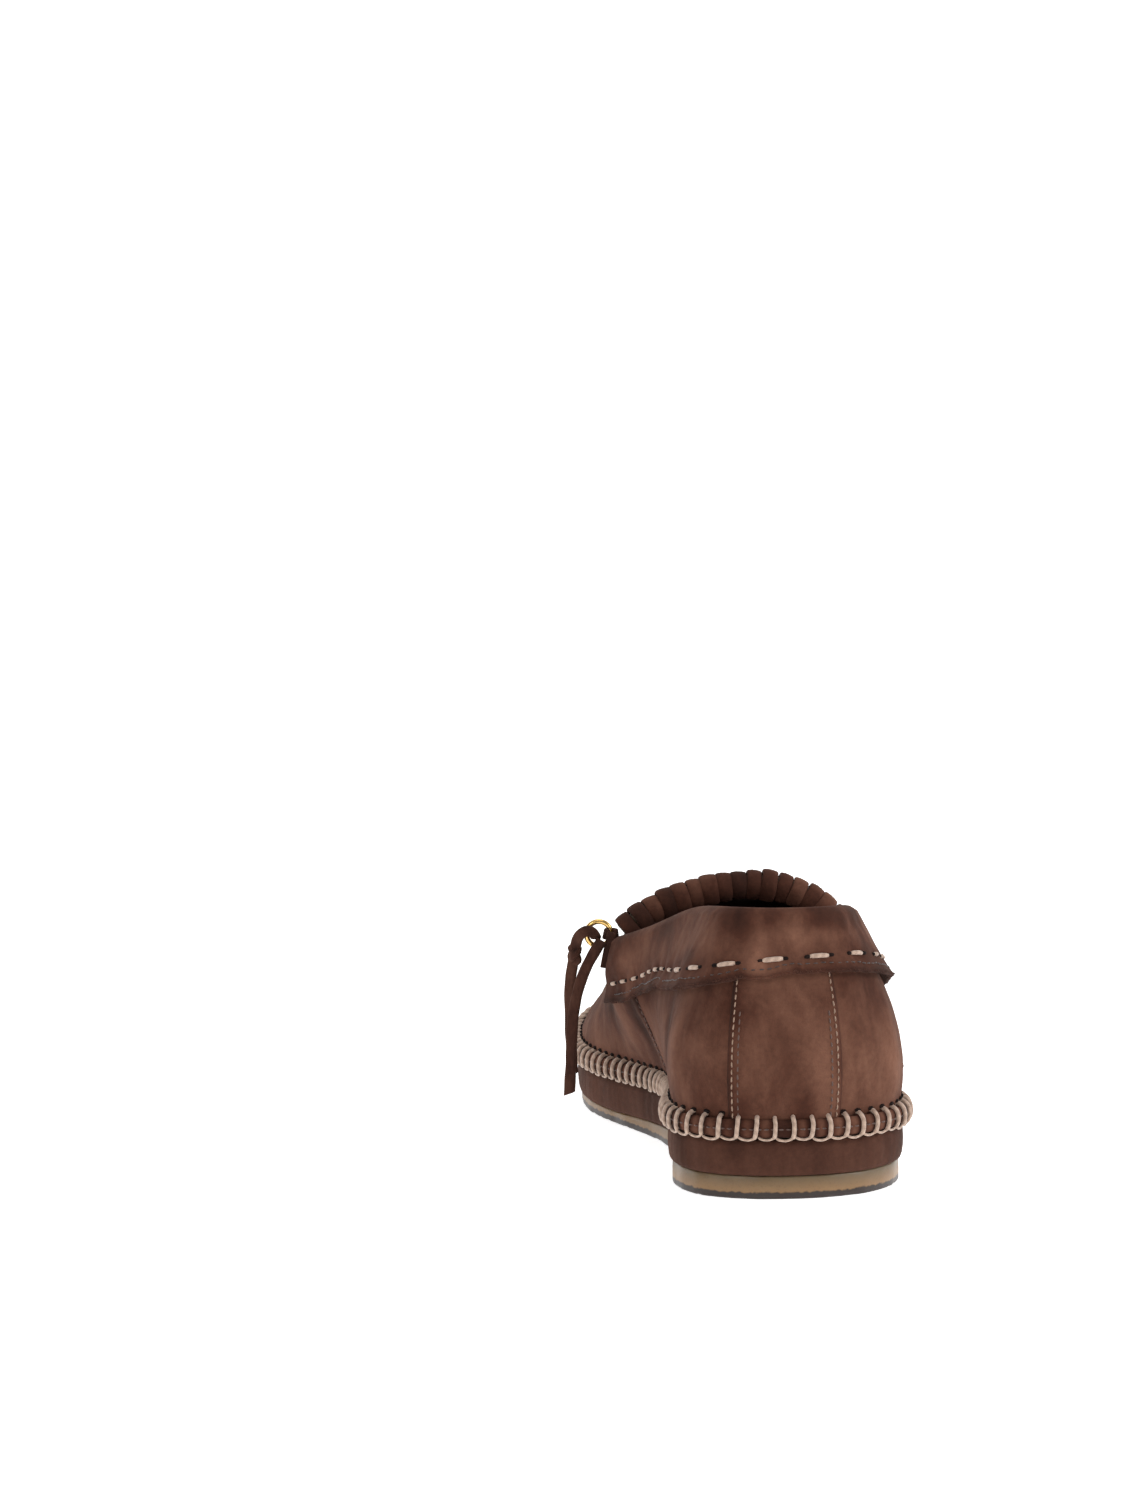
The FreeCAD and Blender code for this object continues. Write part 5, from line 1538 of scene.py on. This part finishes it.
def add_tie(side_name, side, seed):
    """The long tail, and the loop that runs over the ring, through the knot and down."""
    body = side_name + "_tie"
    tail_route, loop_route, end_route, centre = TIES[side_name]
    width = THONG_WIDTHS[side_name]
    tail = spline_points(side_name + "_tail_line", tail_route, 70)
    piece = flat_thong(side_name + "_thong_tail_lace", tail, (side * 0.35, -1.0, 0.0), seed,
                       width)
    finish_piece(piece, THONG_SUEDE, body=body, nodes=(side_name + "_thong_tail",))

    run = spline_points(side_name + "_loop_line", loop_route + end_route, 96)
    lace = flat_thong(side_name + "_thong_loop_lace", run, (side * 0.45, -1.0, 0.0), seed + 30,
                      width, gathered=GATHERED[side_name])
    knot = flat_thong(side_name + "_tie_knot_lace", knot_path(np.array(centre), side),
                      (side, -0.7, 0.25), seed + 60, width=3.0, thick=1.6, closed=True)
    finish_piece(knot, THONG_SUEDE, body=body, nodes=(side_name + "_tie_knot",))
    finish_piece(lace, THONG_SUEDE, body=body,
                 nodes=(side_name + "_thong_loop", side_name + "_thong_end"))


def add_inside():
    """The sock, and plain materials on the layers that stay as designed."""
    def sock_top(y):
        """Height of the sock's upper face."""
        return sole_height(y, SOCK_HEEL_TOP, SOCK_FRONT_TOP)

    offsets = (-9.5, -7.75, -7.6, -7.7, -8.3, -11.0)
    heights = (lambda y: sock_top(y) - 1.4, lambda y: sock_top(y) - 1.4,
               lambda y: sock_top(y) - 1.2, lambda y: sock_top(y) - 0.3,
               lambda y: sock_top(y) - 0.02, sock_top)
    sock = slab("sock_leather", lambda s: around(s, offsets, heights), 260)
    finish_piece(sock, LINING, nodes=("sock_liner",))
    for node, material in (("midsole", FOAM), ("insole_board", BOARD), ("heel_cushion", FOAM),
                           ("heel_counter", BOARD), ("toe_puff", BOARD)):
        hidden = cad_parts[node]
        hidden.data.materials.clear()
        hidden.data.materials.append(material)


SOCK_HEEL_TOP = OUTSOLE_HEEL + RAND_HEIGHT + 0.15 + 2.0 + 3.0 + 0.15 + 1.4
SOCK_FRONT_TOP = OUTSOLE_FRONT + RAND_HEIGHT + 0.15 + 2.0 + 0.7 + 0.15 + 1.4


def machine_row(name, stations, shares, lift, pitch, seed, material, length=1.8, width=0.5):
    """A fine row of machine stitches along a line on the upper."""
    line = wall_frame(stations, shares)[0]
    travelled = np.concatenate([[0], np.cumsum(np.linalg.norm(np.diff(line, axis=0), axis=1))])
    count = max(3, int(travelled[-1] / pitch))
    wanted = travelled[-1] * (np.arange(count) + 0.5) / count
    at = np.interp(wanted, travelled, stations)
    rise = np.interp(wanted, travelled, shares)
    before, after = ([np.interp(wanted + step, travelled, line) for line in (stations, shares)]
                     for step in (-0.5, 0.5))
    point, normal, _ = wall_frame(at, rise)
    ahead = wall(*after) - wall(*before)
    path, radii = lens(length, width, 0.16, 5)
    row = stitched(name, point + normal * lift, ahead, normal,
                   thread_mesh(name + "_stitch", path, radii, 5), material, Seed=seed, Lean=0.1)
    finish_piece(row, material)


def add_machine_rows():
    """Fine rows beside the heel strip's edges and above the collar's raw edge."""
    rise = np.linspace(0.06, 0.76, 60)
    lift = STRIP_LIFT + STRIP_THICK + 0.05
    for side in (-1, 1):
        edge = side * (strip_edge((rise - 0.03) / 0.77) - 0.07)
        label = "lateral" if side > 0 else "medial"
        machine_row(f"heel_strip_row_{label}", edge, rise, lift, 2.3, 5 + side, PALE_THREAD)
        inner = side * (strip_edge((rise - 0.03) / 0.77) - 0.14)
        machine_row(f"heel_strip_inner_row_{label}", inner[:44], rise[:44], lift, 2.4, 15 + side,
                    TONAL_THREAD)
        seam = np.linspace(0.04, 0.78, 60)
        at = side * (lateral_seam(seam) - 0.07)
        machine_row(f"quarter_row_{label}", at, seam, 0.05, 2.3, 25 + side, TONAL_THREAD)
    stations = np.linspace(-4.74, 4.54, 200)
    top = upper_edge(stations)[:, 2]
    shares = share_at(stations, top - CUFF_HEIGHT + 3.0 - cuff_drop(stations) + 2.6)
    lift = CUFF_FACE + 0.55
    machine_row("collar_edge_row", stations, shares, lift, 2.4, 35, EDGE_THREAD, width=0.4)


# ---------------------------------------------------------------- build

add_sole()
add_ridge()
add_upper()
add_cuff()
add_apron()
add_roll()
for tie_side, direction, tie_seed in (("medial", -1, 81), ("lateral", 1, 91)):
    add_ring(tie_side)
    add_tie(tie_side, direction, tie_seed)
add_inside()
add_machine_rows()
